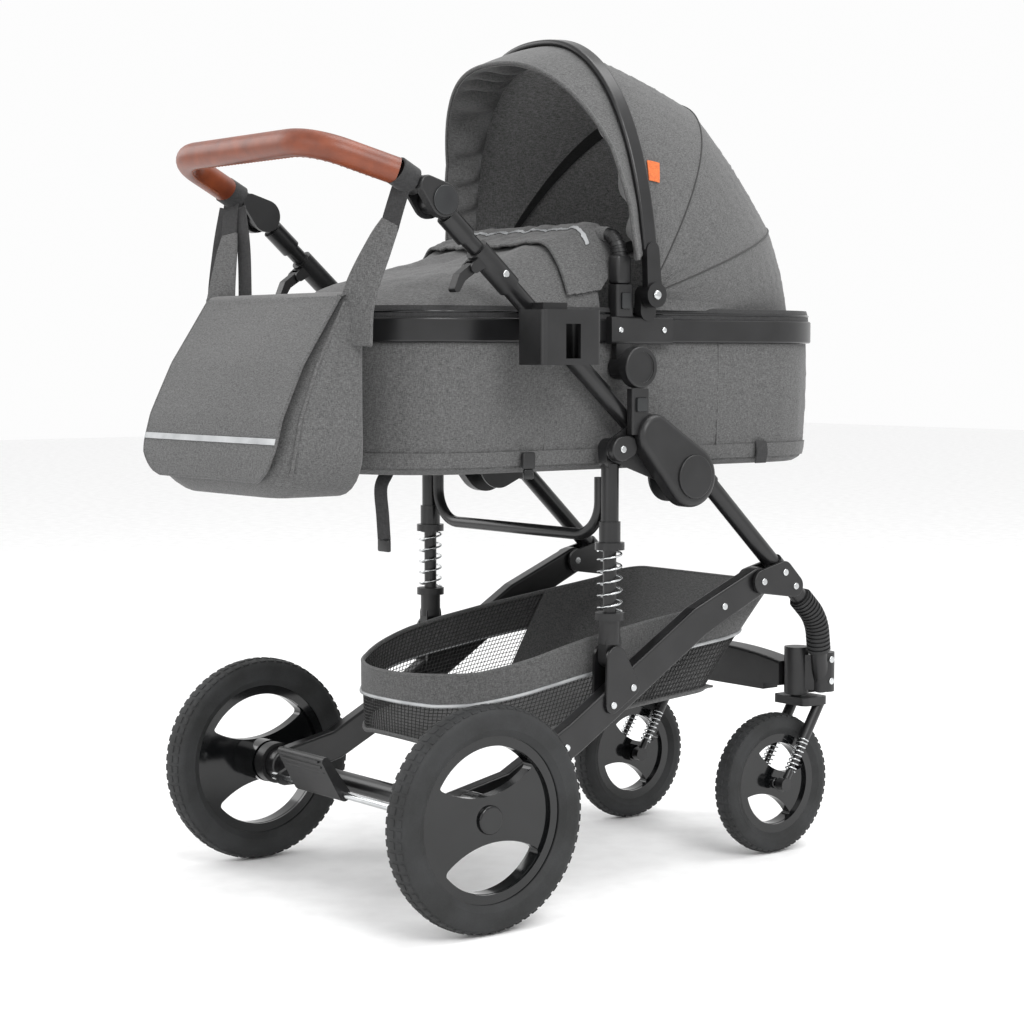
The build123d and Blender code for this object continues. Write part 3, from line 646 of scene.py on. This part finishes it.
def elbow_point(u, v):
    """Point on a ribbed elbow: u runs along the bar's end, v round it."""
    place, ahead, back = (np.array([np.interp(share, elbow_steps, elbow_run[:, axis]) for axis in range(3)])
                          for share in (u, min(1, u + 0.02), max(0, u - 0.02)))
    along = Vector(ahead - back).normalized()
    first = Vector((0, 1, 0))
    second = along.cross(first)
    radius = 0.0094 + 0.0009 * (math.sin(u * 2 * math.pi * 7) > 0)
    turn = 2 * math.pi * v
    return Vector(place) + (first * math.cos(turn) + second * math.sin(turn)) * radius


for side, word in ((1, "right"), (-1, "left")):
    elbow_run = np.array([place for place in bar_line if place[0] * side >= CLOTH_HALF - 0.004])
    elbow_steps = np.linspace(0, 1, len(elbow_run))
    elbow = surface(f"bumper_elbow_{word}", elbow_point, 84, 24)
    finished(elbow, moulded_nylon, "bumper")
    end = bar(f"bumper_end_{word}", (side * 0.190, 0.038, 0.843), (0.022, 0.026, 0.040), 0.005)
    finished(end, moulded_nylon, "bumper")

# %% [markdown]
# ## Hood
# The canopy is one cloth over three bows that all meet at a pivot. Each bow is a superellipse.
# Between bows the cloth is pulled tight, so it sinks below the round of the bows.

# %% Hood bows and skin
PIVOT_Y, PIVOT_Z = 0.078, 0.809
ROUND = 2.4
BOWS = [(-4, 0.189, 0.407), (18, 0.203, 0.369), (56, 0.2015, 0.3445), (94, 0.2025, 0.3535)]


def bow_point(angle, turn, width, reach):
    """Point on a bow at a lean angle in degrees and a turn from 0 at the right foot to pi."""
    x = width * math.copysign(abs(math.cos(turn)) ** (2 / ROUND), math.cos(turn))
    radial = reach * abs(math.sin(turn)) ** (2 / ROUND)
    lean = math.radians(angle)
    return x, PIVOT_Y + radial * math.cos(lean), PIVOT_Z + radial * math.sin(lean)


def hood_point(u, v, inward=0.0):
    """Point on the hood. v runs down from the arch over the bows, and the last part drops to the zip."""
    angle = max(-4, 94 - 102 * v)
    high = next(k for k in range(1, len(BOWS)) if angle <= BOWS[k][0])
    near, far = BOWS[high - 1], BOWS[high]
    part = (angle - near[0]) / (far[0] - near[0])
    turn = u * math.pi
    first = Vector(bow_point(near[0], turn, near[1] - inward, near[2] - inward))
    last = Vector(bow_point(far[0], turn, far[1] - inward, far[2] - inward))
    place = first.lerp(last, part)
    out = Vector((place.x, place.y - PIVOT_Y, place.z - PIVOT_Z)).normalized()
    place += out * math.sin(part * math.pi) * (0.004 + 0.0016 * ripple(u * 5, v * 6))
    drop = max(0, (v - 98 / 102) / (4 / 102))
    return place.x, place.y, place.z + (0.7895 - place.z) * drop


def hood_cloth(piece, material):
    """Finishes a piece of the hood and bakes its place into its mesh."""
    finished(piece, material, None)
    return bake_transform(piece)


skin_cloth = surface("hood_skin", hood_point, 120, 102)
apply(skin_cloth, "SOLIDIFY", thickness=0.0022, offset=-1)
hood_cloth(skin_cloth, grey_cloth)
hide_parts("hood_front_panel", "hood_middle_panel", "hood_rear_panel")
lining = surface("hood_lining", lambda u, v: hood_point(u, v, 0.007), 90, 70)
apply(lining, "SOLIDIFY", thickness=0.0015, offset=-1)
hood_cloth(lining, lining_cloth)

# %% Seams and ribs of the hood
for index, angle in enumerate((18, 56)):
    width, reach = BOWS[index + 1][1:]
    seam_line = [bow_point(angle, math.pi * k / 80, width + 0.0002, reach + 0.0002) for k in range(81)]
    hood_cloth(tube(f"hood_seam_{index}", seam_line, 0.0013), seam_thread)

    def rib_point(u, v):
        return bow_point(angle - 1.8 + 3.6 * v, u * math.pi, width - 0.0105, reach - 0.0105)

    rib = surface(f"hood_rib_{index}", rib_point, 80, 2)
    apply(rib, "SOLIDIFY", thickness=0.0015, offset=0)
    hood_cloth(rib, black_webbing)

# %% [markdown]
# ## Visor
# In front of the carrying arch the cloth turns inwards to a free edge. It is gathered on a cord,
# so its inside has short radial pleats.

# %% Visor in front of the arch
VISOR_REACH = [(0.0, 62), (0.06, 52), (0.12, 32), (0.2, 22), (0.35, 13), (0.6, 10.5), (0.85, 13), (1.0, 15)]


def visor_point(u, v, inward=0.0):
    """Point on the visor: u goes over the arch, v runs to the free edge. Inward sets its lining."""
    turn = math.pi * (0.035 + 0.93 * u)
    height = abs(math.sin(turn)) ** (2 / ROUND)
    spread = read(VISOR_REACH, height)
    pleat = (0.0004 + inward * 0.38) * math.sin(u * 95 + 2 * math.sin(u * 21)) * math.sin(v * math.pi)
    reach = 0.3535 - 0.012 * v - inward + pleat
    return bow_point(94 + spread * v, turn, 0.2035 + 0.013 * v - inward + pleat, reach)


visor = surface("hood_visor", visor_point, 300, 14)
apply(visor, "SOLIDIFY", thickness=0.003, offset=-1)
finished(visor, grey_cloth, "hood_front")


def facing_point(u, v):
    """Point on the visor's gathered inside, which sinks away from its free edge."""
    return visor_point(u, 1 - v, 0.004 + 0.020 * math.sin(v * math.pi / 2))


facing = surface("visor_facing", facing_point, 300, 16)
apply(facing, "SOLIDIFY", thickness=0.0015, offset=-1)
finished(facing, facing_cloth, "hood_front")
edge_line = [visor_point(k / 120, 1.0, 0.001) for k in range(121)]
finished(tube("visor_edge_piping", edge_line, 0.0026), grey_cloth, "hood_front")
binding_line = [bow_point(93, math.pi * (0.04 + 0.92 * k / 100), 0.1935, 0.3445) for k in range(101)]
finished(tube("arch_inner_binding", binding_line, 0.004), black_webbing, "hood_front")

# %% Plain tag on the hood
def tag_point(u, v):
    """Point on the tag, a little outside the hood and behind the arch."""
    return bow_point(86.5 - 7 * u, math.pi * (0.121 + 0.028 * v), 0.2045, 0.3565)


tag = surface("plain_orange_tag", tag_point, 6, 6)
apply(tag, "SOLIDIFY", thickness=0.0012, offset=0)
finished(tag, orange_tape, "hood_front")

# %% [markdown]
# ## Changing bag
# The bag is a soft box that leans out at the bottom. A cube primitive is subdivided, its points are
# moved to the bag's outline, and a flap, piping, a silver strip and straps are laid on it.

# %% Bag body
BAG_SHIFT = -0.008
BAG_FRONT = [(0.548, -0.462), (0.575, -0.484), (0.60, -0.484), (0.65, -0.470), (0.717, -0.438),
             (0.76, -0.410), (0.799, -0.385)]
BAG_LOW, BAG_HALF, BAG_ROUND = 0.548, 0.174, 0.062


def bag_front(z):
    """Where the bag's front is, in y, at a height."""
    return read(BAG_FRONT, z)


def bag_half(z):
    """Half-width of the bag at a height, with rounded lower corners."""
    deep = max(0, BAG_LOW + BAG_ROUND - z)
    corner = math.sqrt(max(0.0001, BAG_ROUND ** 2 - deep ** 2))
    return BAG_HALF - BAG_ROUND + corner - 0.016 * max(0, z - 0.6) / 0.2


def bag_surface(x, y, z):
    """Where a point of the cube from -1 to 1 goes on the bag."""
    height = 0.549 + 0.250 * (z + 1) / 2
    front = bag_front(height)
    corner = 1 - 0.9 * max(0, abs(x) - 0.75)
    puff = 0.004 * (1 - x * x) * (1 - z * z) if y < 0 else 0
    deep = (-0.352 - front) / 2
    return x * bag_half(height), (front - 0.352) / 2 + y * deep * corner - puff, height


bpy.ops.object.select_all(action="DESELECT")
bpy.ops.mesh.primitive_cube_add(size=2)
bag = bpy.context.object
bag.name = "bag_body"
bpy.ops.object.mode_set(mode="EDIT")
bpy.ops.mesh.subdivide(number_cuts=23)
bpy.ops.object.mode_set(mode="OBJECT")
for vertex in bag.data.vertices:
    vertex.co = bag_surface(*vertex.co)
tidy_mesh(bag)
apply(bag, "SMOOTH", factor=0.5, iterations=6)
finished(bag, grey_cloth, "bag", 60)
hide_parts("changing_bag")


# %% Bag flap, piping and strip
FLAP_TOP, FLAP_LOW = 0.8035, 0.572
FLAP_HALF, FLAP_ROUND = 0.162, 0.05
TOP_SHARE = 0.14


def flap_half(z):
    """Half-width of the bag's flap at a height."""
    deep = max(0, FLAP_LOW + FLAP_ROUND - z)
    return FLAP_HALF - FLAP_ROUND + math.sqrt(max(0.0001, FLAP_ROUND ** 2 - deep ** 2))


def bag_flap_point(u, v, out=0.0055):
    """Point on the flap: v runs over the bag's top and down its front, out is its distance from it."""
    across = 2 * u - 1
    if v < TOP_SHARE:
        part = v / TOP_SHARE
        y, z = -0.356 - 0.030 * part, FLAP_TOP + 0.003 * math.sin(part * math.pi)
        return FLAP_HALF * across + BAG_SHIFT, y, z
    part = (v - TOP_SHARE) / (1 - TOP_SHARE)
    z = FLAP_TOP - (FLAP_TOP - FLAP_LOW) * part
    y = bag_front(min(z, 0.799)) - out - 0.003 * math.sin(part * math.pi) + 0.0015 * math.sin(u * 5 + v * 4)
    return flap_half(z) * across + BAG_SHIFT, y, z


bag_flap = surface("bag_flap", bag_flap_point, 50, 60)
apply(bag_flap, "SOLIDIFY", thickness=0.003, offset=0)
finished(bag_flap, grey_cloth, "bag")
bag_strip = surface("bag_reflective_strip", lambda u, v: bag_flap_point(u, 0.80 + 0.028 * v, 0.0078), 50, 2)
apply(bag_strip, "SOLIDIFY", thickness=0.001, offset=0)
finished(bag_strip, reflective, "bag")
around = [bag_flap_point(0, v) for v in np.linspace(TOP_SHARE, 1, 50)]
around += [bag_flap_point(u, 1) for u in np.linspace(0, 1, 30)]
around += [bag_flap_point(1, v) for v in np.linspace(1, TOP_SHARE, 50)]
finished(tube("bag_flap_piping", around, 0.0022), grey_cloth, "bag")
STRAP_FACING = (0.35, -0.92, -0.15)
for side, word in ((1, "right"), (-1, "left")):
    edge = [bag_surface(side * 0.985, -0.99, z) for z in np.linspace(0.96, -0.75, 40)]
    finished(tube(f"bag_edge_piping_{word}", edge, 0.0022), grey_cloth, "bag")
    hung = [(side * 0.166, -0.376, 0.740), (side * 0.168, -0.371, 0.800), (side * 0.184, -0.352, 0.862),
            (side * 0.194, -0.340, 0.894)]
    bag_strap = strap(f"bag_strap_{word}", hung, (0.052, 0.050, 0.038, 0.027), 0.005, STRAP_FACING)
    finished(bag_strap, grey_cloth, "bag")

# %% [markdown]
# ## Basket
# The basket's wall is an open net all round, so real holes are cut: a grid is turned to strands by
# the Wireframe modifier. A cloth band hides its top half outside, with silver piping below.

# %% Basket outline
basket_top = plan(0.166, -0.216, 0.367, 0.160, 0.040)
basket_low = plan(0.162, -0.214, 0.244, 0.156, 0.040)
TOP_EDGE = [(-0.216, 0.298), (-0.160, 0.303), (-0.110, 0.316), (-0.055, 0.330), (0.000, 0.341),
            (0.100, 0.356), (0.300, 0.380), (0.368, 0.396)]
LOW_EDGE = [(-0.238, 0.222), (-0.200, 0.207), (0.086, 0.242), (0.245, 0.254)]


def basket_point(u, v, inset=0.0):
    """Point on the basket's wall: u goes round it, v runs down it."""
    x0, y0, _, _ = basket_top(u, inset)
    x1, y1, _, _ = basket_low(u, inset)
    z0 = read(TOP_EDGE, y0)
    z1 = read(LOW_EDGE, y1)
    belly = 0.006 * math.sin(v * math.pi)
    return x0 + (x1 - x0) * v, y0 + (y1 - y0) * v - belly * 0.2, z0 + (z1 - z0) * v


net = surface("basket_net", basket_point, 230, 20)
apply(net, "WIREFRAME", thickness=0.0016, use_even_offset=False, use_replace=True)
finished(net, black_mesh, "rear_frame")
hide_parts("basket")

# %% Basket band, solid front, floor and piping
def basket_piece(name, shape, across, along, material, thickness=0.002):
    piece = surface(name, shape, across, along)
    apply(piece, "SOLIDIFY", thickness=thickness, offset=0)
    return finished(piece, material, "rear_frame")


BAND_SHARE = 0.44
basket_piece("basket_band", lambda u, v: basket_point(u, BAND_SHARE * v, -0.0022), 160, 6, grey_cloth)
FRONT_SHARE = 0.195
for side, word in ((1, "right"), (-1, "left")):
    basket_piece(f"basket_front_{word}",
                 lambda u, v: basket_point(u * FRONT_SHARE if side > 0 else 1 - u * FRONT_SHARE, v, 0.0024),
                 60, 20, grey_cloth)


def floor_point(u, v):
    y = -0.210 + 0.452 * v
    deep = max(0, -0.214 + 0.156 - y)
    half = 0.162 - 0.156 + math.sqrt(max(0.0, 0.156 ** 2 - deep ** 2))
    z = read(LOW_EDGE, y)
    return half * (2 * u - 1) * 0.99, y, z + 0.0012 + 0.001 * ripple(u * 3, v * 3)


basket_piece("basket_floor", floor_point, 40, 50, grey_cloth, 0.003)
pipings = {
    "basket_top_binding": (0.0, -0.0005, 0.0032, grey_cloth, "grey_fabric"),
    "basket_silver_piping": (BAND_SHARE, -0.0034, 0.0024, reflective, "bright_metal"),
    "basket_low_trim": (1.0, -0.001, 0.0030, grey_cloth, "grey_fabric"),
}
for name, (share, inset, radius, material, slot) in pipings.items():
    line = [basket_point(k / 200, share, inset) for k in range(200)]
    finished(tube(name, line, radius, closed=True), material, "rear_frame")

# %% [markdown]
# ## Handle
# The grip is a tube bent in a wide U, sewn into leather along its inner side. A loop of webbing
# goes round each neck and holds the bag.

# %% Leather grip
def rounded_path(points, radius, steps=14):
    """Straight runs joined by arcs of one radius."""
    points = [Vector(p) for p in points]
    line = [points[0]]
    for before, corner, after in zip(points, points[1:], points[2:]):
        a = (before - corner).normalized()
        b = (after - corner).normalized()
        half = a.angle(b) / 2
        reach = radius / math.tan(half)
        middle = corner + (a + b).normalized() * (radius / math.sin(half))
        first = corner + a * reach - middle
        last = corner + b * reach - middle
        for k in range(steps + 1):
            line.append(middle + first.normalized().slerp(last.normalized(), k / steps) * radius)
    line.append(points[-1])
    return line


GRIP = [(0.2047, -0.3385, 0.9553), (0.162, -0.437, 0.991), (-0.162, -0.437, 0.991),
        (-0.2047, -0.3385, 0.9553)]
grip_path = []
corners = rounded_path(GRIP, 0.070)
for first, last in zip(corners, corners[1:]):
    count = max(1, int((last - first).length / 0.004))
    grip_path += [first.lerp(last, k / count) for k in range(count)]
grip_path.append(corners[-1])
grip = tube("grip_leather", grip_path, 0.0173, sides=9)
finished(grip, leather, "handle", 60)
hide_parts("leather_grip")

# %% Stitches along the grip
centre = Vector((0, -0.345, 0.955))
seam_rows = []
for k in range(6, len(grip_path) - 6):
    run = (grip_path[k + 1] - grip_path[k - 1]).normalized()
    inward = centre - grip_path[k]
    inward = (inward - run * inward.dot(run)).normalized()
    down = run.cross(inward).normalized()
    down = down if down.z < 0 else -down
    seam_rows.append((grip_path[k], run, (inward * 0.55 + down * 0.83).normalized()))
seam = tube("grip_seam", [place + out * 0.0172 for place, _, out in seam_rows], 0.0009)
finished(seam, thread, "handle")
bpy.ops.object.select_all(action="DESELECT")
bpy.ops.mesh.primitive_uv_sphere_add(segments=6, ring_count=4, radius=0.001)
stitch = bpy.context.object
stitch.scale = (1, 1, 2.4)
bpy.ops.object.transform_apply(scale=True)
stitches = []
for k in range(0, len(seam_rows), 2):
    place, run, out = seam_rows[k]
    side = run.cross(out)
    turn = (run + side * 0.5).to_track_quat("Z", "Y").to_matrix().to_4x4()
    one = stitch.copy()
    one.data = stitch.data.copy()
    bpy.context.scene.collection.objects.link(one)
    one.data.transform(turn)
    for vertex in one.data.vertices:
        vertex.co += place + out * 0.0176
    stitches.append(one)
bpy.data.objects.remove(stitch)
only(stitches[0])
for one in stitches:
    one.select_set(True)
bpy.ops.object.join()
sewing = bpy.context.object
sewing.name = "grip_stitches"
finished(sewing, thread, "handle")

# %% Webbing round the necks
for side, word in ((1, "right"), (-1, "left")):
    neck = Vector((side * 0.206, -0.329, 0.950))
    run = Vector((0, -0.88, 0.47)).normalized()
    lift = run.cross(Vector((1, 0, 0))).normalized()
    loop = []
    for k in range(33):
        angle = 2 * math.pi * k / 32
        loop.append(neck + Vector((0.0155 * math.cos(angle), 0, 0)) + lift * 0.0155 * math.sin(angle))

    def loop_point(u, v):
        return loop[round(v * 32)] + run * 0.026 * (u - 0.5)

    band = surface(f"neck_webbing_{word}", loop_point, 4, 32)
    apply(band, "SOLIDIFY", thickness=0.003, offset=1)
    finished(band, black_webbing, "bag")
    hanging = [(side * 0.192, -0.342, 0.884), (side * 0.198, -0.337, 0.910), (side * 0.204, -0.331, 0.937)]
    drop = strap(f"neck_drop_{word}", hanging, (0.027, 0.026), 0.003, STRAP_FACING)
    finished(drop, black_webbing, "bag")
    cap_place = (side * 0.2315, -0.283, 0.921)
    bpy.ops.object.select_all(action="DESELECT")
    bpy.ops.mesh.primitive_cylinder_add(vertices=48, radius=0.0185, depth=0.003, location=cap_place,
                                        rotation=(0, math.pi / 2, 0))
    cap = bpy.context.object
    cap.name = f"handle_joint_cap_{word}"
    apply(cap, "BEVEL", width=0.001, segments=3)
    finished(cap, button_nylon, "handle")

# %% Spare straps on the far side
SPARE = {
    "spare_strap_inner": [(-0.190, -0.327, 0.930), (-0.165, -0.335, 0.870), (-0.135, -0.352, 0.800),
                          (-0.130, -0.356, 0.770)],
    "spare_strap_outer": [(-0.208, -0.336, 0.930), (-0.214, -0.345, 0.870), (-0.200, -0.362, 0.800),
                          (-0.170, -0.368, 0.780)],
}
for name, line in SPARE.items():
    spare = strap(name, line, (0.024, 0.024), 0.002, STRAP_FACING)
    finished(spare, black_webbing, "bag")

# %% [markdown]
# ## Springs
# Bright coil springs sit round the rear struts and on the front fork legs. A spring is a helix of
# wire whose end turns lie flat.

# %% Coil springs
def spring(name, start, end, radius, wire, turns, body):
    """A coil spring from start to end, with flat end turns."""
    start, end = Vector(start), Vector(end)
    along = (end - start).normalized()
    side = along.orthogonal().normalized()
    other = along.cross(side)
    line = []
    count = int(turns * 20)
    for k in range(count + 1):
        share = k / count
        flat = 0.07
        rise = np.interp(share, [0, flat, 1 - flat, 1], [0, 0.03, 0.97, 1])
        angle = 2 * math.pi * turns * share
        round_wire = side * radius * math.cos(angle) + other * radius * math.sin(angle)
        line.append(start.lerp(end, rise) + round_wire)
    return finished(tube(name, line, wire), chrome, body)


for side, word in ((1, "right"), (-1, "left")):
    foot, top = (side * 0.206, 0.008, 0.3835), (side * 0.206, 0.008, 0.4655)
    spring(f"strut_spring_{word}", foot, top, 0.0160, 0.0015, 5.5, f"strut_foot_{word}")
    for leg in (-1, 1):
        x = side * 0.160 + leg * 0.026
        away = Vector((0, 0.432 - 0.360, 0.216 - 0.102)).normalized()
        low = Vector((x, 0.360, 0.102)) + away * 0.024
        name = f"fork_spring_{word}_{'outer' if leg > 0 else 'inner'}"
        spring(name, low, low + away * 0.050, 0.0075, 0.0011, 8, f"slider_{word}")

# %% [markdown]
# ## Tyre tread
# One bevelled rubber block is modelled for the crown and one for each shoulder, and Spin copies
# them round the axle.

# %% Tread blocks
def tread(name, centre, radius, half, count, body):
    """Three rows of tread blocks round a wheel."""
    bpy.ops.object.select_all(action="DESELECT")
    blocks = []
    pitch = 2 * math.pi * radius / count
    for across, deep, share in ((0, 0.0, 0.46), (0.62, 0.0022, 0.32), (-0.62, 0.0022, 0.32)):
        place = (centre[0] + across * half, centre[1], centre[2] + radius - 0.0004 - deep)
        lean = (0, math.copysign(0.22, across) if across else 0, 0)
        blocks.append(bar("block", place, (half * share * 1.15, pitch * 0.66, 0.0026), 0.0006, lean))
    only(blocks[0])
    for block in blocks:
        block.select_set(True)
    bpy.ops.object.join()
    piece = bpy.context.object
    piece.name = name
    bpy.ops.object.mode_set(mode="EDIT")
    bpy.ops.mesh.select_all(action="SELECT")
    bpy.ops.mesh.spin(steps=count, dupli=True, angle=2 * math.pi, center=centre, axis=(1, 0, 0))
    bpy.ops.object.mode_set(mode="OBJECT")
    tidy_mesh(piece)
    return finished(piece, tyre_rubber, body)


for side, word in ((1, "right"), (-1, "left")):
    tread(f"rear_tread_{word}", (side * 0.273, -0.253, 0.145), 0.145, 0.020, 64, f"rear_wheel_{word}")
    tread(f"front_tread_{word}", (side * 0.160, 0.360, 0.102), 0.102, 0.017, 52, f"front_wheel_{word}")

# %% [markdown]
# ## Mattress
# A thin foam pad lies in the cot. It is the one true cushion, so it is swollen by a cloth
# simulation with a little pressure, and its movement is capped.

# %% Mattress pad
PAD_BACK, PAD_FRONT = -0.300, 0.455
PAD_HALF, PAD_ROUND = 0.150, 0.115
SWELL_LIMIT = 0.006


def pad_point(u, v, z):
    y = PAD_BACK + (PAD_FRONT - PAD_BACK) * v
    deep = max(0, PAD_BACK + PAD_ROUND - y, y - (PAD_FRONT - PAD_ROUND))
    half = PAD_HALF - PAD_ROUND + math.sqrt(max(0.0004, PAD_ROUND ** 2 - deep ** 2))
    return half * (2 * u - 1), y, z


pad = surface("mattress", lambda u, v: pad_point(u, v, 0.596), 24, 60)
apply(pad, "SOLIDIFY", thickness=0.022, offset=1)
apply(pad, "REMESH", mode="VOXEL", voxel_size=0.006)
start = [vertex.co.copy() for vertex in pad.data.vertices]
cloth = pad.modifiers.new("cloth", "CLOTH")
cloth.settings.use_pressure = True
cloth.settings.uniform_pressure_force = 4
cloth.settings.effector_weights.gravity = 0
for number in range(1, 21):
    bpy.context.scene.frame_set(number)
only(pad)
bpy.ops.object.modifier_apply(modifier="cloth")
bpy.context.scene.frame_set(1)
for vertex, was in zip(pad.data.vertices, start):
    move = vertex.co - was
    if move.length > SWELL_LIMIT:
        vertex.co = was + move * (SWELL_LIMIT / move.length)
finished(pad, foam_cover, "cot", 60)

# %% [markdown]
# ## Small fittings
# Rivet heads sit on the rim and the hood pivots. A buckle, a tab and a loose strap hang from the
# hem. They are small, but the eye misses them when they are left out.

# %% Rivets, buckle, tab and hanging strap
for side, word in ((1, "right"), (-1, "left")):
    domes(f"rim_rivets_{word}", [(side * 0.2025, y, 0.762) for y in (0.030, 0.108)], 0.0042, chrome, "cot")
    domes(f"hood_pivot_rivet_{word}", [(side * 0.2222, 0.078, 0.809)], 0.0065, chrome, "hood_front")
buckle_frame = bar("hem_buckle_top", (0.1895, -0.119, 0.590), (0.007, 0.020, 0.022), 0.002)
finished(buckle_frame, moulded_nylon, "cot")
buckle_prongs = bar("hem_buckle_low", (0.1895, -0.119, 0.572), (0.006, 0.015, 0.014), 0.002)
finished(buckle_prongs, gloss_abs, "cot")
tab_points = [(0.1835, 0.31, 0.606), (0.1865, 0.31, 0.590), (0.183, 0.31, 0.574)]
hem_tab = strap("hem_tab", tab_points, (0.022, 0.022), 0.003, (1, 0, 0))
finished(hem_tab, black_webbing, "cot")
hang = [(0.100, -0.282, 0.576), (0.100, -0.292, 0.556), (0.101, -0.290, 0.520), (0.100, -0.287, 0.488)]
hanging = strap("hanging_strap", hang, (0.020, 0.020), 0.0022, (0.35, -0.9, 0))
finished(hanging, black_webbing, "cot")
tip = bar("hanging_strap_tip", (0.100, -0.287, 0.481), (0.024, 0.006, 0.016), 0.002)
finished(tip, moulded_nylon, "cot")
